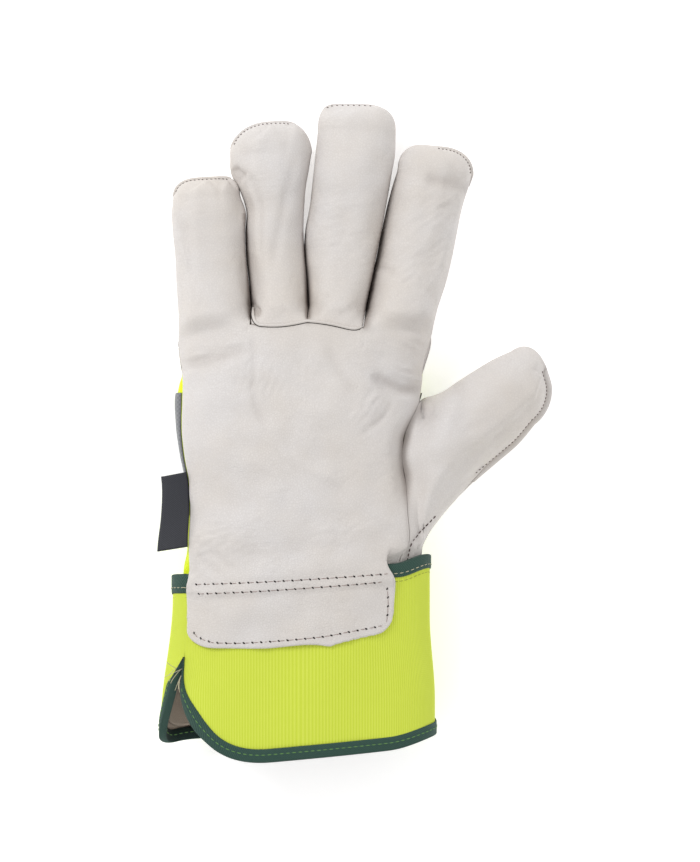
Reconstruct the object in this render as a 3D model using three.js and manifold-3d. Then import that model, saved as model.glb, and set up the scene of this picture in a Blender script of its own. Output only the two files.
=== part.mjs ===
// A right-hand leather work glove lying on its back, palm up: fingers along +Y, thumb towards +X.
// Millimetres. The origin is on the flat underside of the reflective band, in the middle of the back.
import * as THREE from "three";
import Module from "manifold-3d";

const wasm = await Module();
wasm.setup();

// Driving dimensions
const wall = 2.8; // leather with its thin insulation
const flapLeather = 1.3; // bare leather of the tab sewn over the cuff
const seamGap = 0.3; // between pieces that are sewn together
const bandThick = 0.6;
const backFloor = bandThick + 1.5 * seamGap; // the cloth back rests this high, on the band
const cuff = { x: 0.6, z: 25, halfWidth: 52.5, halfHeight: 23.8, power: 2.2, thick: 1.5, floor: 1.2 };
const binding = { thick: 0.9, width: 4.8, topWidth: 5.6 };
const liningEdge = 5.6; // the cuff's lining stops this far from the hem
const cuffGirth = 252;
// The cuff's edges: heights at x = 0, their slant, and how far they rise at the thumb's side and behind
const cuffCut = { top: -46.2, topSlant: 0.07, topRise: 2.5, topBehind: 1.0, bottom: -121.0, slant: 0.1 };
const hemRise = { thumbSide: 4.0, behind: 3.0, behindCorner: 8.5 };
// The cuff is open at one side, with round corners; the hind edge flares out and the front one rolls under
const split = { x: -46.7, top: -82.5, frontRound: 36, backRound: 26, flare: 4.8, drop: 5.0, roll: 0.012 };
const cuffWiden = 1.2; // towards the hem, at the thumb's side
const label = { out: 11.6, top: -7.2, bottom: -39.5, thick: 0.5, fold: 0.9, away: 0.36 };
const welt = { radius: 0.9, start: 1.02, end: 2.98 };
const flap = { left: -46.2, right: 36.2, overlap: 2.2, bottom: -77.5, slant: 0.075, corner: 12 };
// The crease beside the thumb: its depth and width, and where it fades in above and out below
const thumbCrease = { depth: 6.5, width: 3.2, above: [20, 6], below: [-26, -8] };
// The hand's edge bulges behind the seam from the middle of the back to the side, less towards the fingers
const edgeBulge = { out: 4.6, across: [-25, -38], along: [36, 10], skew: 1.15, power: 0.8 };
const archPower = { front: 2.5, back: 3, backFullness: 1.1 }; // roundness of all sections
const columns = 8; // segments across each finger
const tipRows = 4;
const tipEnd = 0.3; // share of its width at which a finger ends
const gridStep = 0.02; // between the two places that give a digit's direction

// The hand's body by height: both outline edges, the edge that the section would have without the thumb,
// the seam height at both sides, and the highest and lowest point of the section.
const body = [
  { y: 58.0, left: -50.0, right: 56.5, virtual: 56.5, zl: 17.0, zr: 15.0, top: 36.5, bottom: 1.6 },
  { y: 46.5, left: -50.0, right: 53.5, virtual: 53.5, zl: 18.0, zr: 16.5, top: 39.5, bottom: 1.3 },
  { y: 38.5, left: -49.0, right: 51.0, virtual: 51.0, zl: 20.0, zr: 17.5, top: 41.5, bottom: backFloor },
  { y: 28.5, left: -48.0, right: 50.0, virtual: 50.0, zl: 24.0, zr: 18.5, top: 43.5, bottom: backFloor },
  { y: 22.0, left: -48.0, right: 49.0, virtual: 49.5, zl: 27.0, zr: 19.0, top: 44.5, bottom: backFloor },
  { y: 8.5, left: -48.0, right: 43.0, virtual: 51.0, zl: 30.0, zr: 20.0, top: 46.0, bottom: backFloor },
  { y: -0.5, left: -47.0, right: 41.5, virtual: 52.0, zl: 31.0, zr: 20.5, top: 46.5, bottom: backFloor },
  { y: -11.5, left: -45.0, right: 43.0, virtual: 52.5, zl: 32.0, zr: 21.0, top: 47.0, bottom: backFloor },
  { y: -23.0, left: -44.5, right: 43.5, virtual: 52.0, zl: 33.5, zr: 22.0, top: 48.0, bottom: backFloor },
  { y: -35.5, left: -45.0, right: 44.0, virtual: 51.0, zl: 36.0, zr: 23.5, top: 50.0, bottom: 2.4 },
  { y: -49.5, left: -44.5, right: 44.0, virtual: 50.3, zl: 38.0, zr: 25.0, top: 51.8, bottom: 3.6 },
];

// Each digit from its root to its shoulder: the chord between the two seams, their heights, and the highest
// and lowest point. Beyond the last row comes a rounded tip of the given length, which leans to one side
// and is aimed aslant by an angle in radians.
const digits = {
  little: {
    tip: 8.8, blunt: 2.1, lean: 0, aim: 0, outer: [1, 0],
    rows: [
      { lx: -50.0, ly: 46.5, rx: -20.1, ry: 52.5, zl: 18.0, zr: 18.0, top: 39.5, bottom: 1.3 },
      { lx: -50.0, ly: 56.0, rx: -20.4, ry: 60.5, zl: 16.5, zr: 19.0, top: 36.0, bottom: 1.2 },
      { lx: -51.0, ly: 69.5, rx: -21.5, ry: 71.5, zl: 15.0, zr: 20.0, top: 32.5, bottom: 1.2 },
      { lx: -51.5, ly: 80.5, rx: -22.6, ry: 81.5, zl: 14.5, zr: 20.5, top: 31.0, bottom: 1.2 },
      { lx: -52.5, ly: 90.0, rx: -23.0, ry: 91.0, zl: 14.0, zr: 20.0, top: 30.5, bottom: 1.2 },
      { lx: -53.0, ly: 98.5, rx: -22.6, ry: 99.0, zl: 14.0, zr: 18.0, top: 30.0, bottom: 1.2 },
      { lx: -52.5, ly: 105.0, rx: -23.6, ry: 105.0, zl: 14.5, zr: 16.5, top: 28.5, bottom: 1.6 },
    ],
  },
  ring: {
    tip: 13.4, blunt: 2.1, lean: 2.2, aim: 0, outer: [0, 0],
    rows: [
      { lx: -19.6, ly: 53.0, rx: 2.9, ry: 54.0, zl: 18.0, zr: 18.0, top: 39.3, bottom: 1.3 },
      { lx: -19.9, ly: 60.8, rx: 3.0, ry: 61.5, zl: 14.0, zr: 19.0, top: 36.5, bottom: 1.2 },
      { lx: -20.9, ly: 71.5, rx: 2.4, ry: 71.5, zl: 11.5, zr: 19.0, top: 33.0, bottom: 1.2 },
      { lx: -22.0, ly: 81.0, rx: 1.5, ry: 82.0, zl: 11.0, zr: 18.5, top: 31.0, bottom: 1.2 },
      { lx: -22.4, ly: 91.0, rx: 1.0, ry: 92.0, zl: 11.5, zr: 17.0, top: 30.5, bottom: 1.2 },
      { lx: -21.9, ly: 100.0, rx: 1.3, ry: 101.5, zl: 12.5, zr: 16.0, top: 30.0, bottom: 1.2 },
      { lx: -23.0, ly: 108.0, rx: 2.0, ry: 110.0, zl: 14.0, zr: 15.5, top: 30.5, bottom: 1.2 },
      { lx: -27.2, ly: 115.5, rx: 3.5, ry: 117.5, zl: 15.0, zr: 15.5, top: 30.5, bottom: 1.3 },
      { lx: -28.5, ly: 122.5, rx: 5.0, ry: 124.5, zl: 16.0, zr: 16.0, top: 29.0, bottom: 2.0 },
    ],
  },
  middle: {
    tip: 11.3, blunt: 2.6, lean: -2.6, aim: 0, outer: [0, 0],
    rows: [
      { lx: 3.3, ly: 54.0, rx: 25.6, ry: 51.8, zl: 18.0, zr: 18.0, top: 39.2, bottom: 1.3 },
      { lx: 3.4, ly: 61.5, rx: 27.0, ry: 61.5, zl: 14.5, zr: 19.5, top: 37.0, bottom: 1.2 },
      { lx: 2.8, ly: 71.5, rx: 29.0, ry: 71.0, zl: 12.5, zr: 20.5, top: 34.0, bottom: 1.2 },
      { lx: 1.9, ly: 82.0, rx: 31.0, ry: 81.5, zl: 12.5, zr: 20.5, top: 32.0, bottom: 1.2 },
      { lx: 2.4, ly: 92.0, rx: 33.0, ry: 91.0, zl: 13.5, zr: 19.5, top: 31.5, bottom: 1.2 },
      { lx: 4.3, ly: 102.0, rx: 35.0, ry: 102.0, zl: 14.5, zr: 18.0, top: 31.0, bottom: 1.2 },
      { lx: 5.5, ly: 113.0, rx: 37.0, ry: 113.0, zl: 15.0, zr: 16.5, top: 31.0, bottom: 1.2 },
      { lx: 6.5, ly: 124.5, rx: 39.0, ry: 124.5, zl: 15.5, zr: 16.0, top: 30.5, bottom: 1.3 },
      { lx: 7.0, ly: 133.0, rx: 39.5, ry: 132.5, zl: 16.0, zr: 16.0, top: 29.0, bottom: 2.0 },
    ],
  },
  index: {
    tip: 11.0, blunt: 2.1, lean: -2.2, aim: 0, outer: [0, 1],
    rows: [
      { lx: 26.0, ly: 51.5, rx: 54.0, ry: 48.8, zl: 18.0, zr: 16.0, top: 39.0, bottom: 1.3 },
      { lx: 27.6, ly: 61.0, rx: 56.5, ry: 59.5, zl: 13.5, zr: 16.0, top: 36.5, bottom: 1.2 },
      { lx: 29.6, ly: 71.5, rx: 60.0, ry: 70.0, zl: 11.5, zr: 15.5, top: 33.0, bottom: 1.2 },
      { lx: 31.7, ly: 81.0, rx: 62.5, ry: 80.0, zl: 11.0, zr: 15.0, top: 31.0, bottom: 1.2 },
      { lx: 33.7, ly: 91.0, rx: 64.5, ry: 90.0, zl: 11.5, zr: 15.0, top: 30.5, bottom: 1.2 },
      { lx: 36.0, ly: 101.5, rx: 66.5, ry: 100.0, zl: 12.5, zr: 15.0, top: 30.0, bottom: 1.2 },
      { lx: 38.2, ly: 110.5, rx: 68.5, ry: 108.0, zl: 14.0, zr: 15.0, top: 29.5, bottom: 1.4 },
      { lx: 40.0, ly: 117.5, rx: 70.0, ry: 114.0, zl: 15.0, zr: 15.0, top: 29.0, bottom: 2.0 },
    ],
  },
  thumb: {
    tip: 11.8, blunt: 2.1, lean: 2.8, aim: 0.35, outer: [1, 1],
    rows: [
      { lx: 49.5, ly: 21.6, rx: 45.0, ry: -49.5, zl: 19.0, zr: 25.0, top: 42.0, bottom: 3.0 },
      { lx: 51.0, ly: 23.0, rx: 50.3, ry: -49.0, zl: 19.0, zr: 25.0, top: 41.0, bottom: 3.0 },
      { lx: 54.5, ly: 24.0, rx: 51.0, ry: -36.5, zl: 19.0, zr: 23.5, top: 40.0, bottom: 2.5 },
      { lx: 59.0, ly: 25.5, rx: 58.0, ry: -25.5, zl: 19.0, zr: 22.0, top: 38.5, bottom: 2.5 },
      { lx: 65.0, ly: 29.5, rx: 69.0, ry: -13.5, zl: 19.5, zr: 21.0, top: 37.0, bottom: 3.0 },
      { lx: 72.0, ly: 34.0, rx: 80.0, ry: -3.5, zl: 19.5, zr: 20.0, top: 35.5, bottom: 3.5 },
      { lx: 79.5, ly: 38.5, rx: 89.0, ry: 4.5, zl: 19.5, zr: 19.5, top: 34.5, bottom: 4.0 },
      { lx: 87.0, ly: 42.0, rx: 96.0, ry: 12.5, zl: 19.5, zr: 19.5, top: 32.5, bottom: 5.5 },
    ],
  },
};

// Where the palm leather ends below the fingers: its corners at the finger roots
const rootCorners = [
  [-50.0, 46.5],
  [-20.1, 52.5],
  [3.1, 53.6],
  [26.0, 51.5],
  [54.0, 48.8],
];
const wristGap = 2.2; // the palm's leather ends this far above the cuff
const wristTuck = { depth: 4.1, from: 11.0, to: 3.5, y: -51.5 }; // the back reaches into the cuff
const knuckleEdge = 33.0; // the leather over the knuckles ends and the cloth back begins
const bandRows = [25.0, 12.5, 0, -12.5, -25.0];
const wristRows = [-34.0, -43.0];
const thumbEnds = [19.0, -47.8]; // two more rows that round the thumb's edges
const rootBlend = 9.0; // a finger takes its own round section within this length of its root
const thumbStraight = 0.32; // the thumb's rows have straightened out at this share of its length
const thumbOwn = 0.5; // and it has taken its own round section at this one
const thumbGap = 0.7; // between the palm's edge and the thumb's first row
const thumbSeamTop = [21, 27]; // above this the palm's own edge is free, beside the thumb
const rootSag = 1.3; // the palm's edge sags below the ring finger
const insetReach = 14.0; // the palm's inner skin is drawn in from the sides over this width

const mix = (a, b, t) => a + (b - a) * t;
const clamp = (v, lo, hi) => Math.min(hi, Math.max(lo, v));
const smooth = (a, b, v) => {
  const t = clamp((v - a) / (b - a), 0, 1);
  return t * t * (3 - 2 * t);
};

// A row of named values at the fraction s of a table, on a curve through its rows
function rowAt(table, s) {
  const place = clamp(s, 0, 1) * (table.length - 1);
  const i = Math.min(Math.floor(place), table.length - 2);
  const t = place - i;
  const [a, b, c, d] = [-1, 0, 1, 2].map((k) => table[clamp(i + k, 0, table.length - 1)]);
  const out = {};
  for (const key of Object.keys(table[0])) {
    const [m, n] = [(c[key] - a[key]) / 2, (d[key] - b[key]) / 2];
    out[key] =
      (2 * t ** 3 - 3 * t * t + 1) * b[key] + (t ** 3 - 2 * t * t + t) * m +
      (3 * t * t - 2 * t ** 3) * c[key] + (t ** 3 - t * t) * n;
  }
  return out;
}

// The body's row at a height y, on straight lines between the table's rows
function bodyAt(y) {
  const below = body.findIndex((row) => row.y <= y);
  const i = below < 0 ? body.length - 1 : Math.max(below, 1);
  const [a, b] = [body[i - 1], body[i]];
  const t = clamp((y - a.y) / (b.y - a.y), 0, 1);
  return Object.fromEntries(Object.keys(a).map((key) => [key, mix(a[key], b[key], t)]));
}

// How far a section has risen from its seams at the place t, from -1 to 1 across it
const arch = (t, power) => Math.sqrt(Math.max(0, 1 - Math.abs(t) ** power));
const frontArch = (t) => arch(t, archPower.front);
const backArch = (t) => Math.min(1, archPower.backFullness * arch(t, archPower.back));

// Height of a section's front (side 1) or back (side -1) surface, d inside its outer skin
function sectionZ(row, t, side, d) {
  const seam = mix(row.zl, row.zr, (t + 1) / 2);
  return side > 0
    ? seam + (row.top - d - seam) * frontArch(t)
    : seam - (seam - row.bottom - d) * backArch(t);
}

// Height of the body's surface over the plan point (x, y), with the crease beside the thumb
function bodyZ(x, y, side, d) {
  const row = bodyAt(y);
  const [l, r] = [row.left + d, row.virtual - d];
  const t = clamp(((x - l) / (r - l)) * 2 - 1, -1, 1);
  let z = sectionZ(row, t, side, d);
  if (side > 0) {
    const away = (x - row.right) / thumbCrease.width;
    const along = smooth(...thumbCrease.above, y) * smooth(...thumbCrease.below, y);
    z -= thumbCrease.depth * along * Math.exp(-away * away);
  }
  return z;
}

// One cross row of a digit: its chord's two ends and its heights, d inside the outer skin.
// s runs from 0 at the root to 1 at the shoulder, and on to 2 at the end of the tip.
function digitRow(digit, s, d) {
  const row = rowAt(digit.rows, Math.min(s, 1));
  const before = rowAt(digit.rows, Math.min(s, 1) - gridStep);
  const after = rowAt(digit.rows, Math.min(s, 1) + gridStep);
  const open = smooth(0, rootBlend, rootDistance(digit, s));
  const ends = ["l", "r"].map((side, k) => {
    const [keyX, keyY] = [side + "x", side + "y"];
    const along = new THREE.Vector2(after[keyX] - before[keyX], after[keyY] - before[keyY]);
    const inward = new THREE.Vector2(along.y, -along.x).normalize().multiplyScalar(k ? -1 : 1);
    const inset = d * (digit.outer[k] ? 1 : open);
    return new THREE.Vector2(row[keyX], row[keyY]).addScaledVector(inward, inset);
  });
  const turn = (Math.max(s - 1, 0) * Math.PI) / 2;
  if (turn > 0) {
    const middle = ends[0].clone().lerp(ends[1], 0.5);
    const half = ends[1].clone().sub(ends[0]).multiplyScalar(0.5);
    const forward = new THREE.Vector2(-half.y, half.x).normalize();
    forward.rotateAround(new THREE.Vector2(), digit.aim);
    const width = mix(tipEnd, 1, (1 - Math.sin(turn) ** digit.blunt) ** (1 / digit.blunt));
    const sideways = (digit.lean * (1 - Math.cos(turn))) / half.length();
    middle.addScaledVector(forward, (digit.tip - d) * Math.sin(turn)).addScaledVector(half, sideways);
    ends[0] = middle.clone().addScaledVector(half, -width);
    ends[1] = middle.clone().addScaledVector(half, width);
    const seam = (row.zl + row.zr) / 2;
    row.top = mix(seam + d, row.top, Math.cos(turn));
    row.bottom = mix(seam - d, row.bottom, Math.cos(turn));
  }
  return { row, ends };
}

function rootDistance(digit, s) {
  const [a, b] = [digit.rows[0], rowAt(digit.rows, Math.min(s, 1))];
  return Math.hypot((a.lx + a.rx - b.lx - b.rx) / 2, (a.ly + a.ry - b.ly - b.ry) / 2);
}

function digitPoint(digit, s, t, side, d) {
  const { row, ends } = digitRow(digit, s, d);
  const [x, y] = [mix(ends[0].x, ends[1].x, (t + 1) / 2), mix(ends[0].y, ends[1].y, (t + 1) / 2)];
  const own = smooth(0, rootBlend, rootDistance(digit, s));
  const z = mix(bodyZ(x, y, side, d), sectionZ(row, t, side, d), own);
  return new THREE.Vector3(x, y, z);
}

// The thumb's first row follows the palm's edge, and the next ones straighten out of it
function thumbPoint(s, t, side, d) {
  const digit = digits.thumb;
  const { row, ends } = digitRow(digit, s, d);
  const [x, y] = [mix(ends[0].x, ends[1].x, (t + 1) / 2), mix(ends[0].y, ends[1].y, (t + 1) / 2)];
  const first = digit.rows[0];
  const line = mix(first.lx, first.rx, clamp((first.ly - y) / (first.ly - first.ry), 0, 1));
  const bow = bodyAt(y).right + thumbGap - line;
  const bent = x + bow * (1 - smooth(0, thumbStraight, s));
  const own = smooth(0, thumbOwn, s);
  const z = mix(bodyZ(bent, y, side, d), sectionZ(row, t, side, d), own);
  const point = new THREE.Vector3(bent, y, z);
  if (side < 0) return tucked(point, d);
  const start = digit.rows[2].ry;
  const squeeze = (wristY(bent) - start) / (first.ry - start);
  return point.setY(Math.max(y, start) + Math.min(y - start, 0) * squeeze);
}

// Where the palm's and the thumb's leather end above the cuff
const wristY = (x) => cuffTop(x, cuff.z + cuff.halfHeight) + wristGap;

// Draws a point of the back in where it enters the cuff, d inside the outer skin
function tucked(point, d) {
  const weight = smooth(wristTuck.from, wristTuck.to, point.y - cuffTop(point.x, point.z));
  const depth = wristTuck.depth + d;
  const [x, z] = [point.x - cuff.x, point.z - cuff.z];
  const across = Math.abs(x / (cuff.halfWidth - depth)) ** cuff.power;
  const size = (across + Math.abs(z / (cuff.halfHeight - depth)) ** cuff.power) ** (1 / cuff.power);
  const k = 1 / Math.max(1, size);
  point.x = mix(point.x, cuff.x + x * k, weight);
  point.z = mix(point.z, Math.max(cuff.z + z * k, cuff.floor + depth), weight);
  return point;
}

// The hand's body at a column f, counted in digits from the little finger's outer edge. Its height y is
// given, or it lies on the line of the finger roots (blend 0) or between that line and y (blend up to 1).
function palmPoint(f, y, blend, side, d) {
  const i = clamp(Math.floor(f), 0, rootCorners.length - 2);
  const t = (-Math.cos(Math.PI * (f - i)) + 1) / 2;
  const root = [0, 1].map((k) => mix(rootCorners[i][k], rootCorners[i + 1][k], t));
  const sag = i === 1 ? rootSag * Math.sin(Math.PI * t) : 0;
  const share = (root[0] - rootCorners[0][0]) / (rootCorners[4][0] - rootCorners[0][0]);
  const at = mix(root[1] - sag, y, blend);
  const row = bodyAt(at);
  const x = mix(root[0], mix(row.left, row.right, share), blend);
  const leftShare = 1 - smooth(0, insetReach, x - row.left);
  const rightShare = smooth(...thumbSeamTop, at) * (1 - smooth(0, insetReach, row.right - x));
  const inset = d * (leftShare - rightShare);
  const z = bodyZ(x + inset, at, side, d);
  const point = new THREE.Vector3(x + inset + sideBulge(x, at, z, side), at, z);
  return side < 0 ? tucked(point, d) : point;
}

// Towards the wrist the back reaches round the hand's edge, further out than the palm's seam
function sideBulge(x, y, z, side) {
  if (side > 0) return 0;
  const row = bodyAt(y);
  const share = clamp((row.zl - z) / (row.zl - row.bottom), 0, 1);
  const near = smooth(...edgeBulge.across, x) * smooth(...edgeBulge.along, y);
  const round = Math.sin(Math.PI * Math.min(1, share * edgeBulge.skew)) ** edgeBulge.power;
  return -edgeBulge.out * near * round;
}

// A sheet collects outer and inner points with the quads between them. Patches that share points are joined.
class Sheet {
  constructor() {
    Object.assign(this, { outer: [], inner: [], quads: [], seen: new Map() });
  }
  vertex(outer, inner) {
    const key = [outer.x, outer.y, outer.z].map((v) => Math.round(v * 200)).join();
    if (!this.seen.has(key)) {
      this.seen.set(key, this.outer.length);
      this.outer.push(outer);
      this.inner.push(inner);
    }
    return this.seen.get(key);
  }
  // pointAt(u, v, layer) gives a point of the outer (0) or inner (1) skin
  patch(us, vs, pointAt) {
    const grid = us.map((u) => vs.map((v) => this.vertex(pointAt(u, v, 0), pointAt(u, v, 1))));
    for (let i = 0; i + 1 < us.length; i++)
      for (let j = 0; j + 1 < vs.length; j++)
        this.quads.push([grid[i][j], grid[i][j + 1], grid[i + 1][j + 1], grid[i + 1][j]]);
    return this;
  }
  solid() {
    const count = this.outer.length;
    const tris = [];
    const edges = new Map();
    const face = (a, b, c) => a !== b && b !== c && a !== c && tris.push(a, b, c);
    for (const [a, b, c, d] of this.quads) {
      face(a, b, c);
      face(a, c, d);
      face(a + count, c + count, b + count);
      face(a + count, d + count, c + count);
      for (const [p, q] of [[a, b], [b, c], [c, d], [d, a]]) {
        if (p === q) continue;
        if (edges.has(q + "," + p)) edges.delete(q + "," + p);
        else edges.set(p + "," + q, [p, q]);
      }
    }
    for (const [p, q] of edges.values()) {
      face(q, p, p + count);
      face(q, p + count, q + count);
    }
    return closed([...this.outer, ...this.inner], tris);
  }
}

// A manifold solid from points and triangles, turned outwards if need be
function closed(points, tris) {
  const cross = new THREE.Vector3();
  let volume = 0;
  for (let i = 0; i < tris.length; i += 3) {
    const [a, b, c] = [points[tris[i]], points[tris[i + 1]], points[tris[i + 2]]];
    volume += cross.crossVectors(a, b).dot(c);
  }
  return new wasm.Manifold(
    new wasm.Mesh({
      numProp: 3,
      vertProperties: new Float32Array(points.flatMap((p) => [p.x, p.y, p.z])),
      triVerts: new Uint32Array(volume < 0 ? tris.slice().reverse() : tris),
    }),
  );
}

const range = (n, a = 0, b = 1) => Array.from({ length: n + 1 }, (_, i) => mix(a, b, i / n));
const acrossDigit = range(columns).map((u) => -Math.cos(Math.PI * u));
const thumbRoot = digits.thumb.rows[0];
const thumbHeights = [thumbEnds[0], ...bandRows.slice(1), ...wristRows, thumbEnds[1]];
const acrossThumb = [thumbRoot.ly, ...thumbHeights, thumbRoot.ry].map(
  (y) => (2 * (thumbRoot.ly - y)) / (thumbRoot.ly - thumbRoot.ry) - 1,
);
const lift = (side) => (side * seamGap) / 2;
const raised = (point, side) => point.setZ(point.z + lift(side));

// Stations along a digit, closer together on the tip
const tipStations = range(tipRows).slice(1);
const stations = (rows) => [...range(rows), ...tipStations.map((u) => 1 + Math.sin((u * Math.PI) / 2))];

function addDigit(sheet, name, side, rows) {
  const digit = digits[name];
  return sheet.patch(stations(rows), acrossDigit, (s, t, layer) =>
    raised(digitPoint(digit, s, t, side, layer * wall), side),
  );
}

// Rows of the hand's body: [y, blend] pairs, as palmPoint takes them
function addPalm(sheet, side, rows, thick, grow = 0) {
  const fs = range(4 * columns, 0, 4);
  return sheet.patch(rows, fs, ([y, blend], f, layer) => {
    const end = typeof y === "function" ? y(f) : y;
    return raised(palmPoint(f, end, blend, side, layer * thick - grow), side);
  });
}

// The cuff's section: x and z at an angle from its split, d outside the cloth's outer skin
const superPower = (v, p) => Math.sign(v) * Math.abs(v) ** p;
const splitAngle = Math.PI - Math.acos(((cuff.x - split.x) / cuff.halfWidth) ** (cuff.power / 2));
function cuffPoint(turn, y, d) {
  const low = smooth(-84, -112, y);
  const rolled = turn - split.roll * low * smooth(0.06, 0, turn);
  const angle = splitAngle - rolled * 2 * Math.PI;
  const [a, b] = [cuff.halfWidth + d, cuff.halfHeight + d];
  const x = cuff.x + a * superPower(Math.cos(angle), 2 / cuff.power);
  const z = Math.max(cuff.z + b * superPower(Math.sin(angle), 2 / cuff.power), cuff.floor - d);
  const behind = smooth(0.8, 0.97, turn) * low;
  const wide = cuffWiden * smooth(-75, -106, y) * smooth(20, 50, x);
  return new THREE.Vector3(x - split.flare * behind + wide, y, z - split.drop * behind);
}

// The cuff is cut a little aslant and its edges rise at the thumb's side
function cuffTop(x, z) {
  const side = cuffCut.topRise * smooth(36, 53, x);
  return cuffCut.top + cuffCut.topSlant * x + side - cuffCut.topBehind * smooth(25, 5, z);
}

function cuffBottom(x, z, turn, inset = 0) {
  const behind = hemRise.behind * smooth(30, 8, z) + hemRise.behindCorner * smooth(0.55, 0.9, turn);
  const straight = cuffCut.bottom + cuffCut.slant * x + hemRise.thumbSide * smooth(36, 55, x) + behind;
  const front = (turn * cuffGirth - inset) / split.frontRound;
  const back = ((1 - turn) * cuffGirth - inset) / split.backRound;
  const arc = clamp(Math.min(front, back), 0, 1);
  return mix(split.top, straight, Math.sqrt(1 - (1 - arc) ** 2)) + inset;
}

// Turns round the cuff, closer together at the rounded corners of the split
const cornerTurns = [0, 0.003, 0.012, 0.025, 0.044, 0.07, 0.1, 0.135];
const cuffTurns = [...cornerTurns, ...range(17, 0.175, 0.865), 0.905, 0.935, 0.96, 0.978, 0.99, 0.997, 1];

// Rows down the cuff: 0 at the top edge, 1 at the end of the lining, 2 at the hem
function cuffTube(rows, outer, inner) {
  const sheet = new Sheet();
  return sheet.patch(rows, cuffTurns, (v, turn, layer) => {
    const flat = cuffPoint(turn % 1, -90, 0);
    const liningEnd = cuffBottom(flat.x, flat.z, turn % 1, liningEdge);
    const hem = cuffBottom(flat.x, flat.z, turn % 1);
    const y = v < 1 ? mix(cuffTop(flat.x, flat.z), liningEnd, v) : mix(liningEnd, hem, v - 1);
    return cuffPoint(turn % 1, y, layer ? inner : outer);
  });
}

// A solid swept through rings of points, closed on itself or with flat ends
function swept(rings, loop) {
  const count = rings[0].length;
  const tris = [];
  for (let i = 0; i < rings.length - (loop ? 0 : 1); i++) {
    const next = (i + 1) % rings.length;
    for (let k = 0; k < count; k++) {
      const [a, b] = [i * count + k, i * count + ((k + 1) % count)];
      const [c, d] = [next * count + ((k + 1) % count), next * count + k];
      tris.push(a, b, c, a, c, d);
    }
  }
  if (!loop) {
    tris.push(...endCap(rings[0], 0, true));
    tris.push(...endCap(rings.at(-1), count * (rings.length - 1), false));
  }
  return closed(rings.flat(), tris);
}

// Triangles over a ring that is nearly flat, whose points start at the given index
function endCap(ring, start, first) {
  const size = new THREE.Box3().setFromPoints(ring).getSize(new THREE.Vector3());
  const axis = size.x > size.y ? "x" : "y";
  const outline = ring.map((p) => new THREE.Vector2(p[axis], p.z));
  const forward = THREE.ShapeUtils.isClockWise(outline) ? [0, 2, 1] : [0, 1, 2];
  const ordered = first ? forward.slice().reverse() : forward;
  const faces = THREE.ShapeUtils.triangulateShape(outline, []);
  return faces.flatMap((tri) => ordered.map((k) => start + tri[k]));
}

// A binding folded over an edge of the cuff: a channel whose lips lie on both faces
function edgeBinding(edgeY, inwards, width) {
  const [t, g, c] = [binding.thick, seamGap, cuff.thick];
  const lips = [
    [g, width], [g + t, width], [g + t, -t], [-c - g - t, -t],
    [-c - g - t, width], [-c - g, width], [-c - g, -g], [g, -g],
  ];
  const path = cuffTurns.slice(0, -1).map((turn) => {
    const flat = cuffPoint(turn, -90, 0);
    return { turn, y: edgeY(flat.x, flat.z, turn) };
  });
  const rings = path.map((p, i) => {
    const [a, b] = [path.at(i - 1), path[(i + 1) % path.length]];
    const run = (((b.turn - a.turn + 1.5) % 1) - 0.5) * cuffGirth;
    const size = Math.hypot(run, b.y - a.y);
    const [across, up] = [((a.y - b.y) / size) * inwards, (run / size) * inwards];
    return lips.map(([out, over]) =>
      cuffPoint(p.turn + (across * over) / cuffGirth, p.y + up * over, out),
    );
  });
  return swept(rings, true);
}

// The tab of palm leather that is sewn over the cuff's front
function flapSolid() {
  const over = binding.thick + 2.5 * seamGap + flapLeather;
  const sheet = new Sheet();
  return sheet
    .patch([0, 0.06, 0.12, 0.3, 0.5, 0.7, 0.85, 1], range(14), (v, u, layer) => {
      const x = mix(flap.left + 1.6 * (1 - v), flap.right + 4.4 * v * (1 - v), u);
      const side = Math.min(u, 1 - u) * (flap.right - flap.left);
      const round = 1 - clamp(side / flap.corner, 0, 1);
      const raise = flap.slant * (x + 20) + flap.corner * (1 - Math.sqrt(1 - round * round));
      const y = mix(wristY(x) + flap.overlap, flap.bottom + raise, v);
      const above = mix(bodyZ(x, y, 1, 0), sectionOver(x, over), smooth(wristY(x) + 1.5, wristY(x), y));
      return new THREE.Vector3(x, y, above - layer * flapLeather);
    })
    .solid();
}

// Height of the cuff's front over x, d outside its cloth
function sectionOver(x, d) {
  const share = Math.abs((x - cuff.x) / (cuff.halfWidth + d));
  return cuff.z + (cuff.halfHeight + d) * (1 - share ** cuff.power) ** (1 / cuff.power);
}

// The welt sewn across the roots of the two middle fingers
function weltSolid() {
  const rings = range(22, welt.start, welt.end).map((f) => {
    const p = palmPoint(f, 0, 0, 1, 0);
    const z = p.z + welt.radius + 2 * seamGap;
    return range(5, 0, 5 / 6).map((u) => {
      const angle = 2 * Math.PI * u;
      const [over, up] = [welt.radius * Math.cos(angle), welt.radius * Math.sin(angle)];
      return new THREE.Vector3(p.x, p.y + over, z + up);
    });
  });
  return swept(rings, false);
}

// The woven side label: a strip folded back on itself, its ends sewn into the side seam
function labelSolid() {
  const [t, open, out] = [label.thick, label.fold, label.out];
  const profile = [
    [0, 0], [out, 0], [out, open + 2 * t], [0, open + 2 * t],
    [0, open + t], [out - t, open + t], [out - t, t], [0, t],
  ];
  const rings = [label.top, ...bandRows.slice(3), label.bottom].map((y) => {
    const row = bodyAt(y);
    const [root, base] = [row.left - label.away, row.zl + seamGap];
    return profile.map(([x, z]) => new THREE.Vector3(root - x, y, base + z));
  });
  return swept(rings, false);
}

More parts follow.
